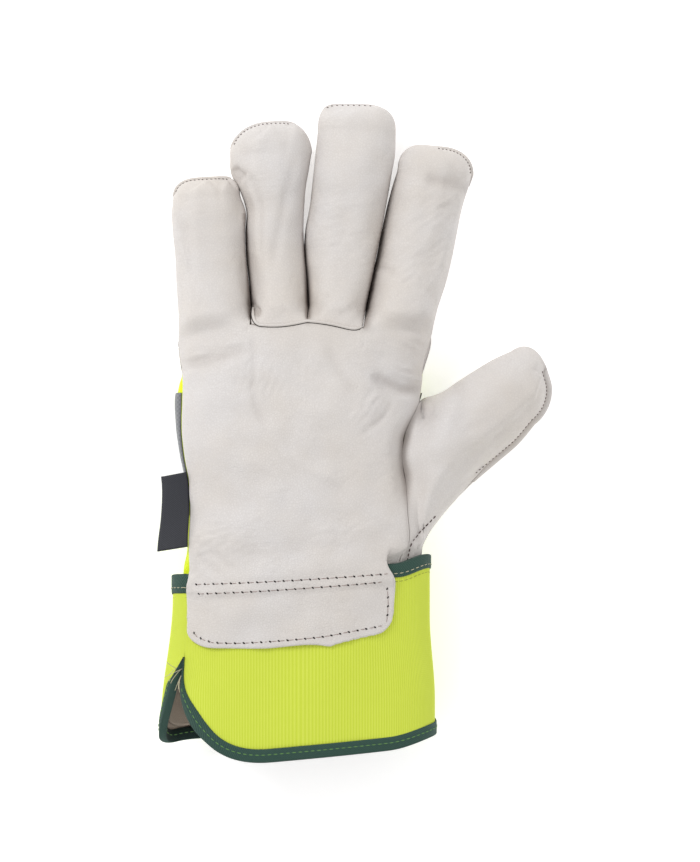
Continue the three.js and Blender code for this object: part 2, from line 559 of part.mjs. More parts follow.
const finishes = {
  leather: { color: 0xd6d1cb, roughness: 0.62, metalness: 0 },
  hivis: { color: 0xd4ee1e, roughness: 0.85, metalness: 0 },
  reflective: { color: 0x8d9094, roughness: 0.45, metalness: 0.2 },
  cuffCloth: { color: 0xc4dc3c, roughness: 0.9, metalness: 0 },
  bindingTape: { color: 0x24524a, roughness: 0.8, metalness: 0 },
  lining: { color: 0x8e8177, roughness: 0.95, metalness: 0 },
  labelWeave: { color: 0x16171b, roughness: 0.7, metalness: 0 },
};

const glove = new THREE.Group();
function add(name, finish, solid) {
  const mesh = solid.getMesh();
  const geometry = new THREE.BufferGeometry();
  geometry.setAttribute("position", new THREE.BufferAttribute(mesh.vertProperties, 3));
  geometry.setIndex(new THREE.BufferAttribute(mesh.triVerts, 1));
  geometry.computeVertexNormals();
  const made = new THREE.Mesh(geometry, new THREE.MeshStandardMaterial(finishes[finish]));
  made.name = name;
  glove.add(made);
}

// The columns' ends above the cuff, and the rows that all pieces of the hand's body share
const wristEnd = (f) => wristY(palmPoint(f, wristRows[1], 1, 1, 0).x);
const asRow = (y) => [y, 1];
const rootRows = [[knuckleEdge, 0], [knuckleEdge, 0.5]];
const frontRows = [...rootRows, ...[knuckleEdge, ...bandRows, wristRows[0], wristEnd].map(asRow)].reverse();
const strapRows = [[knuckleEdge, 0.02], [knuckleEdge, 0.5], [knuckleEdge, 1]];
const backRows = [knuckleEdge - seamGap, ...bandRows, ...wristRows, wristTuck.y].map(asRow);

// The palm leather, with the little and index fingers' fronts and the tab over the cuff in one piece
const palmSheet = new Sheet();
addPalm(palmSheet, 1, frontRows, wall);
addDigit(palmSheet, "little", 1, 7);
addDigit(palmSheet, "index", 1, 7);
add("palm_leather", "leather", palmSheet.solid().add(flapSolid()));

for (const name of ["ring", "middle"]) {
  add(name + "_finger_front", "leather", addDigit(new Sheet(), name, 1, 8).solid());
}
for (const [name, rows] of [["little", 7], ["ring", 8], ["middle", 8], ["index", 7]]) {
  add(name + "_finger_back", "leather", addDigit(new Sheet(), name, -1, rows).solid());
}
for (const [name, side] of [["thumb_front", 1], ["thumb_back", -1]]) {
  const sheet = new Sheet().patch(stations(10), acrossThumb, (s, t, layer) =>
    raised(thumbPoint(s, t, side, layer * wall), side),
  );
  add(name, "leather", sheet.solid());
}

add("knuckle_strap", "leather", addPalm(new Sheet(), -1, strapRows, wall).solid());
add("back_cloth", "hivis", addPalm(new Sheet(), -1, backRows, wall).solid());
const bandSheet = addPalm(new Sheet(), -1, bandRows.map(asRow), bandThick, seamGap + bandThick);
add("reflective_band", "reflective", bandSheet.solid());

const liningTurn = { from: -cuff.thick - seamGap, to: -cuff.thick - seamGap - 0.7 };
add("cuff", "cuffCloth", cuffTube([0, 0.25, 0.5, 0.7, 0.85, 1, 1.5, 2], 0, -cuff.thick).solid());
add("cuff_lining", "lining", cuffTube([0.25, 0.5, 0.7, 0.85, 1], liningTurn.from, liningTurn.to).solid());
add("hem_binding", "bindingTape", edgeBinding(cuffBottom, 1, binding.width));
add("top_binding", "bindingTape", edgeBinding(cuffTop, -1, binding.topWidth));

add("root_welt", "leather", weltSolid());
add("side_label", "labelWeave", labelSolid());

export default glove;
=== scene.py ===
import math

import bmesh
import bpy
import numpy as np
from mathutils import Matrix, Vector
from mathutils.bvhtree import BVHTree


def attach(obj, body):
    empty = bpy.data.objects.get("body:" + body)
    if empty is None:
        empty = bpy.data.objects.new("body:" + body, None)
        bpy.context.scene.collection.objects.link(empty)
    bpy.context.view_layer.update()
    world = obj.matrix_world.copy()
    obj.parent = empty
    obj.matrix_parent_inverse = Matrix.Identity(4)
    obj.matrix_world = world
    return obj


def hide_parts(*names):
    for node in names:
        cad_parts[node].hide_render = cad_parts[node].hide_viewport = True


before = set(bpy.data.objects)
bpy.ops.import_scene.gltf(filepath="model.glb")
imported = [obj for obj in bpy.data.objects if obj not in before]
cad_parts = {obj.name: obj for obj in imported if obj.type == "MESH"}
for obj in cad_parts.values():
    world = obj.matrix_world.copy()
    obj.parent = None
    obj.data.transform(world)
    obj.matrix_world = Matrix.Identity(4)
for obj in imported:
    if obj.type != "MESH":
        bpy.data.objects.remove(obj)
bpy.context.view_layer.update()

# Sizes are worked out in millimetres and scaled once, when a mesh is made.
mm = 0.001

# Fineness of the surfaces, and what the user may change about the leather's softness
look = {
    "digitCells": 48,  # across each finger, a multiple of 12
    "rowStep": 0.85,  # mm between rows of the leather
    "clothStep": 1.1,
    "lumpHeight": 0.55,
    "wrinkleDepth": 0.5,
    "creaseDepth": 1.0,
    "seed": 11,
}

# Driving dimensions, as in the model
wall = 2.8
flapLeather = 1.3
seamGap = 0.3
bandThick = 0.6
backFloor = bandThick + 1.5 * seamGap
cuff = {"x": 0.6, "z": 25, "halfWidth": 52.5, "halfHeight": 23.8, "power": 2.2, "thick": 1.5, "floor": 1.2}
cuffGirth = 252
cuffWiden = 2.1
split = {"x": -46.7, "top": -82.5, "frontRound": 36, "backRound": 31, "flare": 5.4, "drop": 5.0, "roll": 0.0187}
wristGap = 2.2
tuck = {"depth": 2.9, "start": 7.5, "end": 1.2, "y": -54.0, "under": 4.0}
knuckleEdge = 33.0
bandEdges = (25.0, -25.0)
rootBlend = 9.0
thumbBlend = 30.0
thumbGap = 0.2  # the thumb's leather lies closer to the palm than in the plain model
flapEnd = 3 + 7 / 12  # the tab over the cuff ends at this column, counted in digits
insetReach = 14.0
fingerPress = 0.36  # how far each of two neighbouring fingers leans on the other
rimBulge = 0.22  # how far a cut edge stands out, as a share of its thickness

bodyNames = ("y", "left", "right", "virtual", "zl", "zr", "top", "bottom")
bodyRows = [
    (58.0, -50.0, 56.5, 56.5, 17.0, 15.0, 36.5, 1.6),
    (46.5, -50.0, 53.5, 53.5, 18.0, 16.5, 39.5, 1.3),
    (38.5, -49.0, 51.0, 51.0, 20.0, 17.5, 41.5, backFloor),
    (28.5, -48.0, 50.0, 50.0, 24.0, 18.5, 43.5, backFloor),
    (22.0, -48.0, 49.0, 49.5, 27.0, 19.0, 44.5, backFloor),
    (8.5, -48.0, 43.0, 51.0, 30.0, 20.0, 46.0, backFloor),
    (-0.5, -47.0, 41.5, 52.0, 31.0, 20.5, 46.5, backFloor),
    (-11.5, -45.0, 43.0, 52.5, 32.0, 21.0, 47.0, backFloor),
    (-23.0, -44.5, 43.5, 52.0, 33.5, 22.0, 48.0, backFloor),
    (-35.5, -45.0, 44.0, 51.0, 36.0, 23.5, 50.0, 2.4),
    (-49.5, -44.5, 44.0, 50.3, 38.0, 25.0, 51.8, 3.6),
]
digitNames = ("lx", "ly", "rx", "ry", "zl", "zr", "top", "bottom")
digits = {
    "little": {"tip": 8.4, "blunt": 2.5, "lean": 1.2, "aim": 0, "end": 0.28, "outer": (1, 0), "rows": [
        (-50.0, 46.5, -20.1, 52.5, 18.0, 18.0, 39.5, 1.3),
        (-50.0, 56.0, -20.4, 60.5, 16.5, 19.0, 36.0, 1.2),
        (-51.0, 69.5, -21.5, 71.5, 15.0, 20.0, 32.5, 1.2),
        (-51.5, 80.5, -22.6, 81.5, 14.5, 20.5, 31.0, 1.2),
        (-52.5, 90.0, -23.0, 91.0, 14.0, 20.0, 30.5, 1.2),
        (-53.0, 98.5, -22.6, 99.2, 14.0, 18.0, 30.0, 1.2),
        (-52.5, 105.0, -24.6, 106.4, 14.5, 16.5, 28.5, 1.6),
    ]},
    "ring": {"tip": 13.4, "blunt": 2.1, "lean": 2.2, "aim": 0, "end": 0.14, "outer": (0, 0), "rows": [
        (-19.6, 53.0, 2.9, 54.0, 18.0, 18.0, 39.3, 1.3),
        (-19.9, 60.8, 3.0, 61.5, 14.0, 19.0, 36.5, 1.2),
        (-20.9, 71.5, 2.4, 71.5, 11.5, 19.0, 33.0, 1.2),
        (-22.0, 81.0, 1.5, 82.0, 11.0, 18.5, 31.0, 1.2),
        (-22.4, 91.0, 1.0, 92.0, 11.5, 17.0, 30.5, 1.2),
        (-21.9, 100.0, 1.3, 101.5, 12.5, 16.0, 30.0, 1.2),
        (-24.4, 108.0, 2.0, 110.0, 14.0, 15.5, 30.5, 1.2),
        (-28.4, 115.5, 3.5, 117.5, 15.0, 15.5, 30.5, 1.3),
        (-29.1, 122.5, 5.0, 124.5, 16.0, 16.0, 29.0, 2.0),
    ]},
    "middle": {"tip": 11.3, "blunt": 2.6, "lean": -2.6, "aim": 0, "end": 0.28, "outer": (0, 0), "rows": [
        (3.3, 54.0, 25.6, 51.8, 18.0, 18.0, 39.2, 1.3),
        (3.4, 61.5, 27.0, 61.5, 14.5, 19.5, 37.0, 1.2),
        (2.8, 71.5, 29.0, 71.0, 12.5, 20.5, 34.0, 1.2),
        (1.9, 82.0, 31.0, 81.5, 12.5, 20.5, 32.0, 1.2),
        (2.4, 92.0, 33.0, 91.0, 13.5, 19.5, 31.5, 1.2),
        (4.3, 102.0, 35.0, 102.0, 14.5, 18.0, 31.0, 1.2),
        (5.5, 113.0, 37.0, 113.0, 15.0, 16.5, 31.0, 1.2),
        (6.5, 124.5, 39.0, 124.5, 15.5, 16.0, 30.5, 1.3),
        (7.0, 133.0, 39.5, 132.5, 16.0, 16.0, 29.0, 2.0),
    ]},
    "index": {"tip": 10.8, "blunt": 2.2, "lean": -1.9, "aim": 0, "end": 0.26, "outer": (0, 1), "rows": [
        (26.0, 51.5, 54.0, 48.8, 18.0, 16.0, 39.0, 1.3),
        (27.6, 61.0, 56.5, 59.5, 13.5, 16.0, 36.5, 1.2),
        (29.6, 71.5, 60.0, 70.0, 11.5, 15.5, 33.0, 1.2),
        (31.7, 81.0, 62.5, 80.0, 11.0, 15.0, 31.0, 1.2),
        (33.7, 91.0, 64.5, 90.0, 11.5, 15.0, 30.5, 1.2),
        (36.0, 101.5, 66.5, 100.0, 12.5, 15.0, 30.0, 1.2),
        (38.2, 110.5, 69.0, 108.3, 14.0, 15.0, 29.5, 1.4),
        (40.0, 117.5, 71.3, 114.6, 15.0, 15.0, 29.0, 2.0),
    ]},
    "thumb": {"tip": 12.4, "blunt": 2.1, "lean": 2.2, "aim": 0.35, "end": 0.14, "outer": (1, 1), "rows": [
        (49.5, 21.6, 45.0, -49.5, 19.0, 25.0, 42.0, 3.0),
        (51.0, 23.0, 50.3, -49.0, 19.0, 25.0, 41.0, 3.0),
        (54.5, 24.0, 51.0, -36.5, 19.0, 23.5, 40.0, 2.5),
        (58.9, 25.9, 58.0, -25.7, 19.0, 22.0, 38.5, 2.5),
        (64.8, 30.0, 69.0, -13.8, 19.5, 21.0, 37.0, 3.0),
        (71.8, 34.5, 80.3, -4.0, 19.5, 20.0, 35.5, 3.5),
        (79.3, 39.0, 89.5, 3.9, 19.5, 19.5, 34.5, 4.0),
        (86.8, 42.5, 96.4, 12.1, 19.5, 19.5, 32.5, 5.5),
    ]},
}
rootCorners = np.array([(-50.0, 46.5), (-20.1, 52.5), (3.1, 53.6), (26.0, 51.5), (54.0, 48.8)])


def mix(a, b, t):
    return a + (b - a) * t


def smooth(a, b, v):
    t = np.clip((v - a) / (b - a), 0, 1)
    return t * t * (3 - 2 * t)


# A smooth curve through table rows, read at any number of places at once
def curveThrough(knots, values, at, names):
    at = np.asarray(at, float)
    slopes = np.gradient(values, knots, axis=0)
    i = np.clip(np.searchsorted(knots, at) - 1, 0, len(knots) - 2)
    step = (knots[i + 1] - knots[i])[..., None]
    t = np.clip((at - knots[i])[..., None] / step, 0, 1)
    a, b, m, n = values[i], values[i + 1], slopes[i] * step, slopes[i + 1] * step
    out = a * (2 * t**3 - 3 * t**2 + 1) + m * (t**3 - 2 * t**2 + t) + b * (3 * t**2 - 2 * t**3) + n * (t**3 - t**2)
    return {name: out[..., k] for k, name in enumerate(names)}


bodyTable = np.array(bodyRows[::-1])
for digit in digits.values():
    digit["table"] = np.array(digit["rows"])


def bodyAt(y):
    return curveThrough(bodyTable[:, 0], bodyTable, y, bodyNames)


def digitAt(digit, s):
    return curveThrough(np.linspace(0, 1, len(digit["table"])), digit["table"], np.clip(s, 0, 1), digitNames)


def frontArch(t):
    return np.sqrt(np.maximum(0, 1 - np.abs(t) ** 2.5))


def backArch(t):
    return np.minimum(1, 1.1 * np.sqrt(np.maximum(0, 1 - np.abs(t) ** 3)))


def sectionZ(row, t, side, d):
    seam = mix(row["zl"], row["zr"], (t + 1) / 2)
    if side > 0:
        return seam + (row["top"] - d - seam) * frontArch(t)
    return seam - (seam - row["bottom"] - d) * backArch(t)


def bodyZ(x, y, side, d):
    row = bodyAt(y)
    l, r = row["left"] + d, row["virtual"] - d
    t = np.clip((x - l) / (r - l) * 2 - 1, -1, 1)
    z = sectionZ(row, t, side, d)
    if side > 0:
        along = smooth(20, 6, y) * smooth(-26, -8, y)
        z = z - 6.5 * along * np.exp(-(((x - row["right"]) / 3.2) ** 2))
    return z


def rootDistance(digit, s):
    a, b = digitAt(digit, np.zeros(1)), digitAt(digit, s)
    return np.hypot((a["lx"] + a["rx"] - b["lx"] - b["rx"]) / 2, (a["ly"] + a["ry"] - b["ly"] - b["ry"]) / 2)


# A digit's cross rows: both ends of each chord and the row's heights, d inside the outer skin
def digitRows(digit, s, d):
    row = digitAt(digit, s)
    before, after = digitAt(digit, np.minimum(s, 1) - 0.02), digitAt(digit, np.minimum(s, 1) + 0.02)
    opened = smooth(0, rootBlend, rootDistance(digit, s))
    ends = []
    for k, side in enumerate("lr"):
        ax, ay = after[side + "x"] - before[side + "x"], after[side + "y"] - before[side + "y"]
        size = np.hypot(ax, ay) * (-1 if k else 1)
        inset = d if digit["outer"][k] else d * opened - fingerPress * opened * smooth(1, 0.8, s)
        ends.append([row[side + "x"] + ay / size * inset, row[side + "y"] - ax / size * inset])
    (lx, ly), (rx, ry) = ends
    turn = np.maximum(s - 1, 0) * math.pi / 2
    mx, my, hx, hy = (lx + rx) / 2, (ly + ry) / 2, (rx - lx) / 2, (ry - ly) / 2
    size = np.hypot(hx, hy)
    width = np.where(turn > 0, mix(digit["end"], 1, (1 - np.sin(turn) ** digit["blunt"]) ** (1 / digit["blunt"])), 1)
    reach = (digit["tip"] - d) * np.sin(turn)
    lean = digit["lean"] * (1 - np.cos(turn))
    c, k = math.cos(digit["aim"]), math.sin(digit["aim"])
    mx, my = mx + (hx * lean - (hy * c + hx * k) * reach) / size, my + (hy * lean + (hx * c - hy * k) * reach) / size
    seam = (row["zl"] + row["zr"]) / 2
    row["top"] = np.where(turn > 0, mix(seam + d, row["top"], np.cos(turn)), row["top"])
    row["bottom"] = np.where(turn > 0, mix(seam - d, row["bottom"], np.cos(turn)), row["bottom"])
    return row, mx - hx * width, my - hy * width, mx + hx * width, my + hy * width


def digitPoints(name, s, t, side, d):
    digit = digits[name]
    row, lx, ly, rx, ry = digitRows(digit, s, d)
    x, y = mix(lx, rx, (t + 1) / 2), mix(ly, ry, (t + 1) / 2)
    distance = rootDistance(digit, s)
    if side > 0:
        y = y - rootSag(name, (t + 1) / 2) * smooth(6, 0, distance)
    own = smooth(0, rootBlend, distance)
    z = mix(bodyZ(x, y, side, d), sectionZ(row, t, side, d), own)
    return np.stack([x, y, z], -1)


def cuffTop(x, z):
    return -47.4 + 0.07 * x + 2.5 * smooth(41, 54, x) + 1.9 * smooth(-38, -50, x) - 2.0 * smooth(32, 10, z)


def wristY(x):
    return cuffTop(x, cuff["z"] + cuff["halfHeight"]) + wristGap


def thumbPoints(s, t, side, d):
    digit = digits["thumb"]
    row, lx, ly, rx, ry = digitRows(digit, s, d)
    x, y = mix(lx, rx, (t + 1) / 2), mix(ly, ry, (t + 1) / 2)
    first = dict(zip(digitNames, digit["rows"][0]))
    line = mix(first["lx"], first["rx"], np.clip((first["ly"] - y) / (first["ly"] - first["ry"]), 0, 1))
    bow = bodyAt(y)["right"] + thumbGap - line
    bent = x + bow * (1 - smooth(0, 0.32, s))
    own = smooth(0, thumbBlend, s * thumbBlend / 0.5)
    low = bent if side < 0 else np.minimum(bent, bodyAt(y)["right"] + 4.5)
    z = mix(bodyZ(low, y, side, d), sectionZ(row, t, side, d), own)
    points = np.stack([bent, y, z], -1)
    if side > 0:
        start = digit["rows"][2][3]
        squeeze = (cuffTop(bent, z) - tuck["under"] - start) / (first["ry"] - start)
        points[..., 1] = np.maximum(y, start) + np.minimum(y - start, 0) * squeeze
    return tucked(points, d)


# The back is drawn in where it enters the cuff
def tucked(points, d):
    x, y, z = points[..., 0], points[..., 1], points[..., 2]
    weight = smooth(tuck["start"], tuck["end"], y - cuffTop(x, z))
    depth = tuck["depth"] + d
    across = np.abs((x - cuff["x"]) / (cuff["halfWidth"] - depth)) ** cuff["power"]
    size = (across + np.abs((z - cuff["z"]) / (cuff["halfHeight"] - depth)) ** cuff["power"]) ** (1 / cuff["power"])
    k = 1 / np.maximum(1, size)
    inX = mix(x, cuff["x"] + (x - cuff["x"]) * k, weight)
    inZ = mix(z, np.maximum(cuff["z"] + (z - cuff["z"]) * k, cuff["floor"] + depth), weight)
    return np.stack([inX, y, inZ], -1)


# How far the back reaches beyond the palm's seam at the hand's edge, by height
bulgeRows = np.array([
    (-54, 4.6), (-46, 4.2), (-40, 2.2), (-25, 2.0), (-6.5, 2.2), (3.3, 2.6), (12, 3.3), (25, 3.8), (29, 2.8),
    (33, 0.4), (36, 0),
])


def sideBulge(x, y, z, side):
    if side > 0:
        return 0 * x
    row = bodyAt(y)
    share = np.clip((row["zl"] - z) / (row["zl"] - row["bottom"]), 0, 1)
    out = curveThrough(bulgeRows[:, 0], bulgeRows, y, ("y", "out"))["out"]
    return -smooth(-25, -38, x) * out * np.sin(math.pi * np.minimum(1, share * 1.15)) ** 0.8


# The depth of the sag below a finger's root, and how far it leans to one side
rootBends = {"ring": (1.3, 1), "middle": (1.35, 3)}


# How far the palm's edge sags below a finger at the share t of its width
def rootSag(name, t):
    depth, power = rootBends.get(name, (0, 1))
    return depth * np.sin(math.pi * np.clip(t, 0, 1) ** power)


# The hand's body at columns f, counted in digits, between the finger roots (blend 0) and the height y (blend 1)
def palmPoints(f, y, blend, side, d):
    i = np.clip(np.floor(f).astype(int), 0, 3)
    t = (1 - np.cos(math.pi * (f - i))) / 2
    rootX = mix(rootCorners[i, 0], rootCorners[i + 1, 0], t)
    sag = np.where(i == 1, rootSag("ring", t), np.where(i == 2, rootSag("middle", t), 0))
    rootY = mix(rootCorners[i, 1], rootCorners[i + 1, 1], t) - sag
    share = (rootX - rootCorners[0, 0]) / (rootCorners[4, 0] - rootCorners[0, 0])
    at = mix(rootY, y, blend)
    row = bodyAt(at)
    x = mix(rootX, mix(row["left"], row["right"], share), blend)
    opened = smooth(21, 27, at)
    fromLeft, fromRight = (1 - smooth(0, insetReach, gap) for gap in (x - row["left"], row["right"] - x))
    inset = d * fromLeft - d * opened * fromRight
    z = bodyZ(x + inset, at, side, d)
    points = np.stack([x + inset + sideBulge(x, at, z, side), at, z], -1)
    return tucked(points, d) if side < 0 else points


def sectionOver(x, d):
    share = np.minimum(np.abs((x - cuff["x"]) / (cuff["halfWidth"] + d)), 1)
    return cuff["z"] + (cuff["halfHeight"] + d) * (1 - share ** cuff["power"]) ** (1 / cuff["power"])


def superPower(v, p):
    return np.sign(v) * np.abs(v) ** p


splitAngle = math.pi - math.acos(((cuff["x"] - split["x"]) / cuff["halfWidth"]) ** (cuff["power"] / 2))


def cuffPoints(turn, y, d):
    rolled = turn - split["roll"] * smooth(-82, -100, y) * smooth(0.06, 0, turn)
    angle = splitAngle - rolled * 2 * math.pi
    x = cuff["x"] + (cuff["halfWidth"] + d) * superPower(np.cos(angle), 2 / cuff["power"])
    z = cuff["z"] + (cuff["halfHeight"] + d) * superPower(np.sin(angle), 2 / cuff["power"])
    z = np.maximum(z, cuff["floor"] - d)
    flare = smooth(0.8, 0.95, turn) * (1 - smooth(-90, -81, y) * smooth(0.93, 1, turn)) * smooth(-58, -112, y)
    sink = smooth(0.8, 0.97, turn) * smooth(-84, -112, y)
    wide = cuffWiden * smooth(-66, -100, y) * smooth(20, 50, x)
    return np.stack([x - split["flare"] * flare + wide, y + 0 * x, z - split["drop"] * sink], -1)


def cuffBottom(x, z, turn, inset=0):
    behind = 3.0 * smooth(30, 8, z) + 7.4 * smooth(0.55, 0.9, turn)
    straight = -122.6 + 0.092 * x + 4.2 * smooth(36, 62, x) + behind
    front = (turn * cuffGirth - inset) / split["frontRound"]
    back = ((1 - turn) * cuffGirth - inset) / split["backRound"]
    arc = np.clip(np.minimum(front, back), 0, 1)
    return mix(split["top"], straight, np.sqrt(1 - (1 - arc) ** 2)) + inset


# A smooth random field made of plane waves of about one size, the same in each run
def waveField(points, size, seed, stretch=(1, 1, 1), count=20):
    rng = np.random.default_rng(look["seed"] * 1000 + seed)
    ways = rng.normal(size=(count, 3))
    ways /= np.linalg.norm(ways, axis=1)[:, None]
    ways *= (2 * math.pi / (size * rng.uniform(0.75, 1.5, count)))[:, None] / np.array(stretch)
    return np.cos(points @ ways.T + rng.uniform(0, 2 * math.pi, count)).sum(1) / math.sqrt(count / 2)


# Distance in plan from each point to a line through a few places, and how far along it the nearest place is
def distanceToLine(points, line):
    line = np.array(line, float)
    knots = np.r_[0, np.cumsum(np.linalg.norm(np.diff(line, axis=0), axis=1))]
    fine = curveThrough(knots, line, np.linspace(0, knots[-1], 40), ("x", "y"))
    best, share = np.full(len(points), 1e9), np.zeros(len(points))
    for k, (x, y) in enumerate(zip(fine["x"], fine["y"])):
        gap = np.hypot(points[:, 0] - x, points[:, 1] - y)
        share = np.where(gap < best, k / 39, share)
        best = np.minimum(best, gap)
    return best, share


# Dents (depth above 0) and ridges of the palm side: a line through places in mm, its width and its depth
creases = [
    {"at": [(-49, 36), (-38, 38), (-30, 40), (-19.5, 43.5)], "width": 2.8, "depth": 1.4},
    {"at": [(-19.5, 49.6), (-18.3, 40.6), (-18.9, 28.3), (-16.8, 18), (-12, 8)], "width": 1.7, "depth": 0.8},
    {"at": [(28, 33), (36.5, 28.6), (43, 26), (51.5, 27)], "width": 2.6, "depth": 2.4},
    {"at": [(-20.2, 63), (-19.2, 60.2), (-17.4, 58.4), (-16.4, 56.2)], "width": 1.2, "depth": 2.6},
    {"at": [(-11.5, 5.7), (2, -4.5), (16.4, -11.5), (26.7, -20.9), (42, -33)], "width": 2.2, "depth": -0.6},
    {"at": [(-18.5, -2.5), (-4, -13.5), (2, -25)], "width": 2.0, "depth": -0.35},
    {"at": [(11, 45), (16.4, 33.6), (24, 23.5)], "width": 2.4, "depth": 0.7},
    {"at": [(26.7, 9.8), (34.9, 16), (38, 22)], "width": 1.2, "depth": 0.5},
    {"at": [(23, 7), (31, 11.5), (36, 17)], "width": 1.1, "depth": 0.35},
    {"at": [(50, 113), (58, 111), (65, 109.8), (71, 108.8)], "width": 2.8, "depth": 1.8},
    {"at": [(-29, 116.5), (-23, 112)], "width": 3.0, "depth": 2.2},
    {"at": [(-1.5, 121), (-7, 98), (-11.5, 76)], "width": 2.4, "depth": 0.9},
    {"at": [(-36, -40.5), (0, -37.5), (41, -31.5)], "width": 5.0, "depth": 0.8},
    {"at": [(-43, -40), (-31, -49)], "width": 1.6, "depth": 0.6},
    {"at": [(-38, -37), (-25, -47.5)], "width": 1.5, "depth": 0.45},
    {"at": [(5.5, 56), (13, 65.5)], "width": 2.0, "depth": 0.7},
    {"at": [(16, 56), (23, 60)], "width": 1.8, "depth": 0.6},
    {"at": [(32, 77), (39, 74)], "width": 1.2, "depth": 0.8},
    {"at": [(4, 105), (34, 108)], "width": 3.0, "depth": 0.4},
    {"at": [(-51, 92), (-24, 95)], "width": 4.0, "depth": 0.4},
    {"at": [(57, 36), (66, 24), (62, 8)], "width": 4.0, "depth": 0.7},
    {"at": [(53.4, -27.1), (48.8, -31.9), (45.9, -35.3), (45.0, -37.6), (43.8, -42.9), (43.2, -46)], "width": 1.0,
     "depth": 1.1},
]


# Patches of fine wrinkles: centre, half length along the wrinkles, half width across them, slope in degrees, depth
wrinklePatches = [
    ((43, 44), 10, 9, -28, 0.30), ((46, 32), 9, 5, -22, 0.36), ((29, 22), 10, 4, 48, 0.30),
    ((52, 76), 16, 12, 38, 0.26), ((56, 98), 12, 8, 30, 0.24), ((-36, -36), 12, 6, 22, 0.30),
    ((-38, 39), 13, 5, 8, 0.26), ((-6, -2), 14, 7, -50, 0.14), ((18, -30), 18, 6, 12, 0.14),
    ((16, 84), 13, 18, 8, 0.12), ((70, 8), 12, 10, 40, 0.12), ((-14, 30), 8, 14, 70, 0.14),
]


def fineWrinkles(points):
    height = np.zeros(len(points))
    for k, ((x, y), length, width, slope, depth) in enumerate(wrinklePatches):
        turn = math.radians(slope)
        u = (points[:, 0] - x) * math.cos(turn) + (points[:, 1] - y) * math.sin(turn)
        v = (points[:, 1] - y) * math.cos(turn) - (points[:, 0] - x) * math.sin(turn)
        near = np.exp(-((u / length) ** 2) - (v / width) ** 2)
        field = waveField(np.stack([u * 0.3, v, 0 * u], -1), 2.3, 80 + k)
        height += 0.8 * depth * near * field
    return height


# How far the palm side's leather is pushed in or out at each point
def palmRelief(points):
    height = fineWrinkles(points)
    for crease in creases:
        gap, share = distanceToLine(points, crease["at"])
        ends = smooth(0, 0.2, share) * smooth(1, 0.8, share)
        push = crease["depth"] * look["creaseDepth"]
        height -= push * (0.25 + 0.75 * ends) * np.exp(-((gap / crease["width"]) ** 2))
    return height


# Soft lumps and fine wrinkles over all leather
def leatherRelief(points, seed):
    lumps = 0.6 * waveField(points, 30, seed) + 0.35 * waveField(points, 12, seed + 1)
    patchy = smooth(-0.2, 1.1, waveField(points, 26, seed + 2))
    lines = np.exp(-((waveField(points, 7.5, seed + 3, (1.7, 0.75, 1)) / 0.2) ** 2))
    fine = waveField(points, 2.6, seed + 4, (1.5, 0.8, 1))
    grain = look["wrinkleDepth"] * (-0.42 * lines * patchy + 0.07 * fine * (0.4 + patchy))
    return look["lumpHeight"] * lumps + grain


# A sheet collects outer and inner grids of points and joins patches that share points
class Sheet:
    def __init__(self):
        self.outer, self.inner, self.uv, self.quads, self.count = [], [], [], [], 0

    def patch(self, outer, inner, uv=None):
        rows, cols = outer.shape[:2]
        ids = self.count + np.arange(rows * cols).reshape(rows, cols)
        quads = np.stack([ids[:-1, :-1], ids[:-1, 1:], ids[1:, 1:], ids[1:, :-1]], -1)
        self.quads.append(quads.reshape(-1, 4))
        self.outer.append(outer.reshape(-1, 3))
        self.inner.append(inner.reshape(-1, 3))
        self.uv.append((outer[..., :2] if uv is None else uv).reshape(-1, 2))
        self.count += rows * cols
        return self

    def make(self, name, materials, relief=None):
        outer, inner, uv = np.concatenate(self.outer), np.concatenate(self.inner), np.concatenate(self.uv)
        quads = np.concatenate(self.quads)
        keys = np.round(outer * 200).astype(np.int64)
        _, first, again = np.unique(keys, axis=0, return_index=True, return_inverse=True)
        again = again.reshape(-1)
        outer, inner, uv, quads = outer[first], inner[first], uv[first], again[quads]
        if relief is not None:
            normals = pointNormals(outer, quads)
            push = normals * relief(outer, normals)[:, None]
            outer, inner = outer + push, inner + push * 0.9
        return makeSkin(name, outer, inner, uv, quads, materials)


def pointNormals(points, quads):
    a, b, c, d = (points[quads[:, k]] for k in range(4))
    face = np.cross(c - a, d - b)
    out = np.zeros_like(points)
    for k in range(4):
        np.add.at(out, quads[:, k], face)
    out /= np.maximum(np.linalg.norm(out, axis=1), 1e-9)[:, None]
    return out


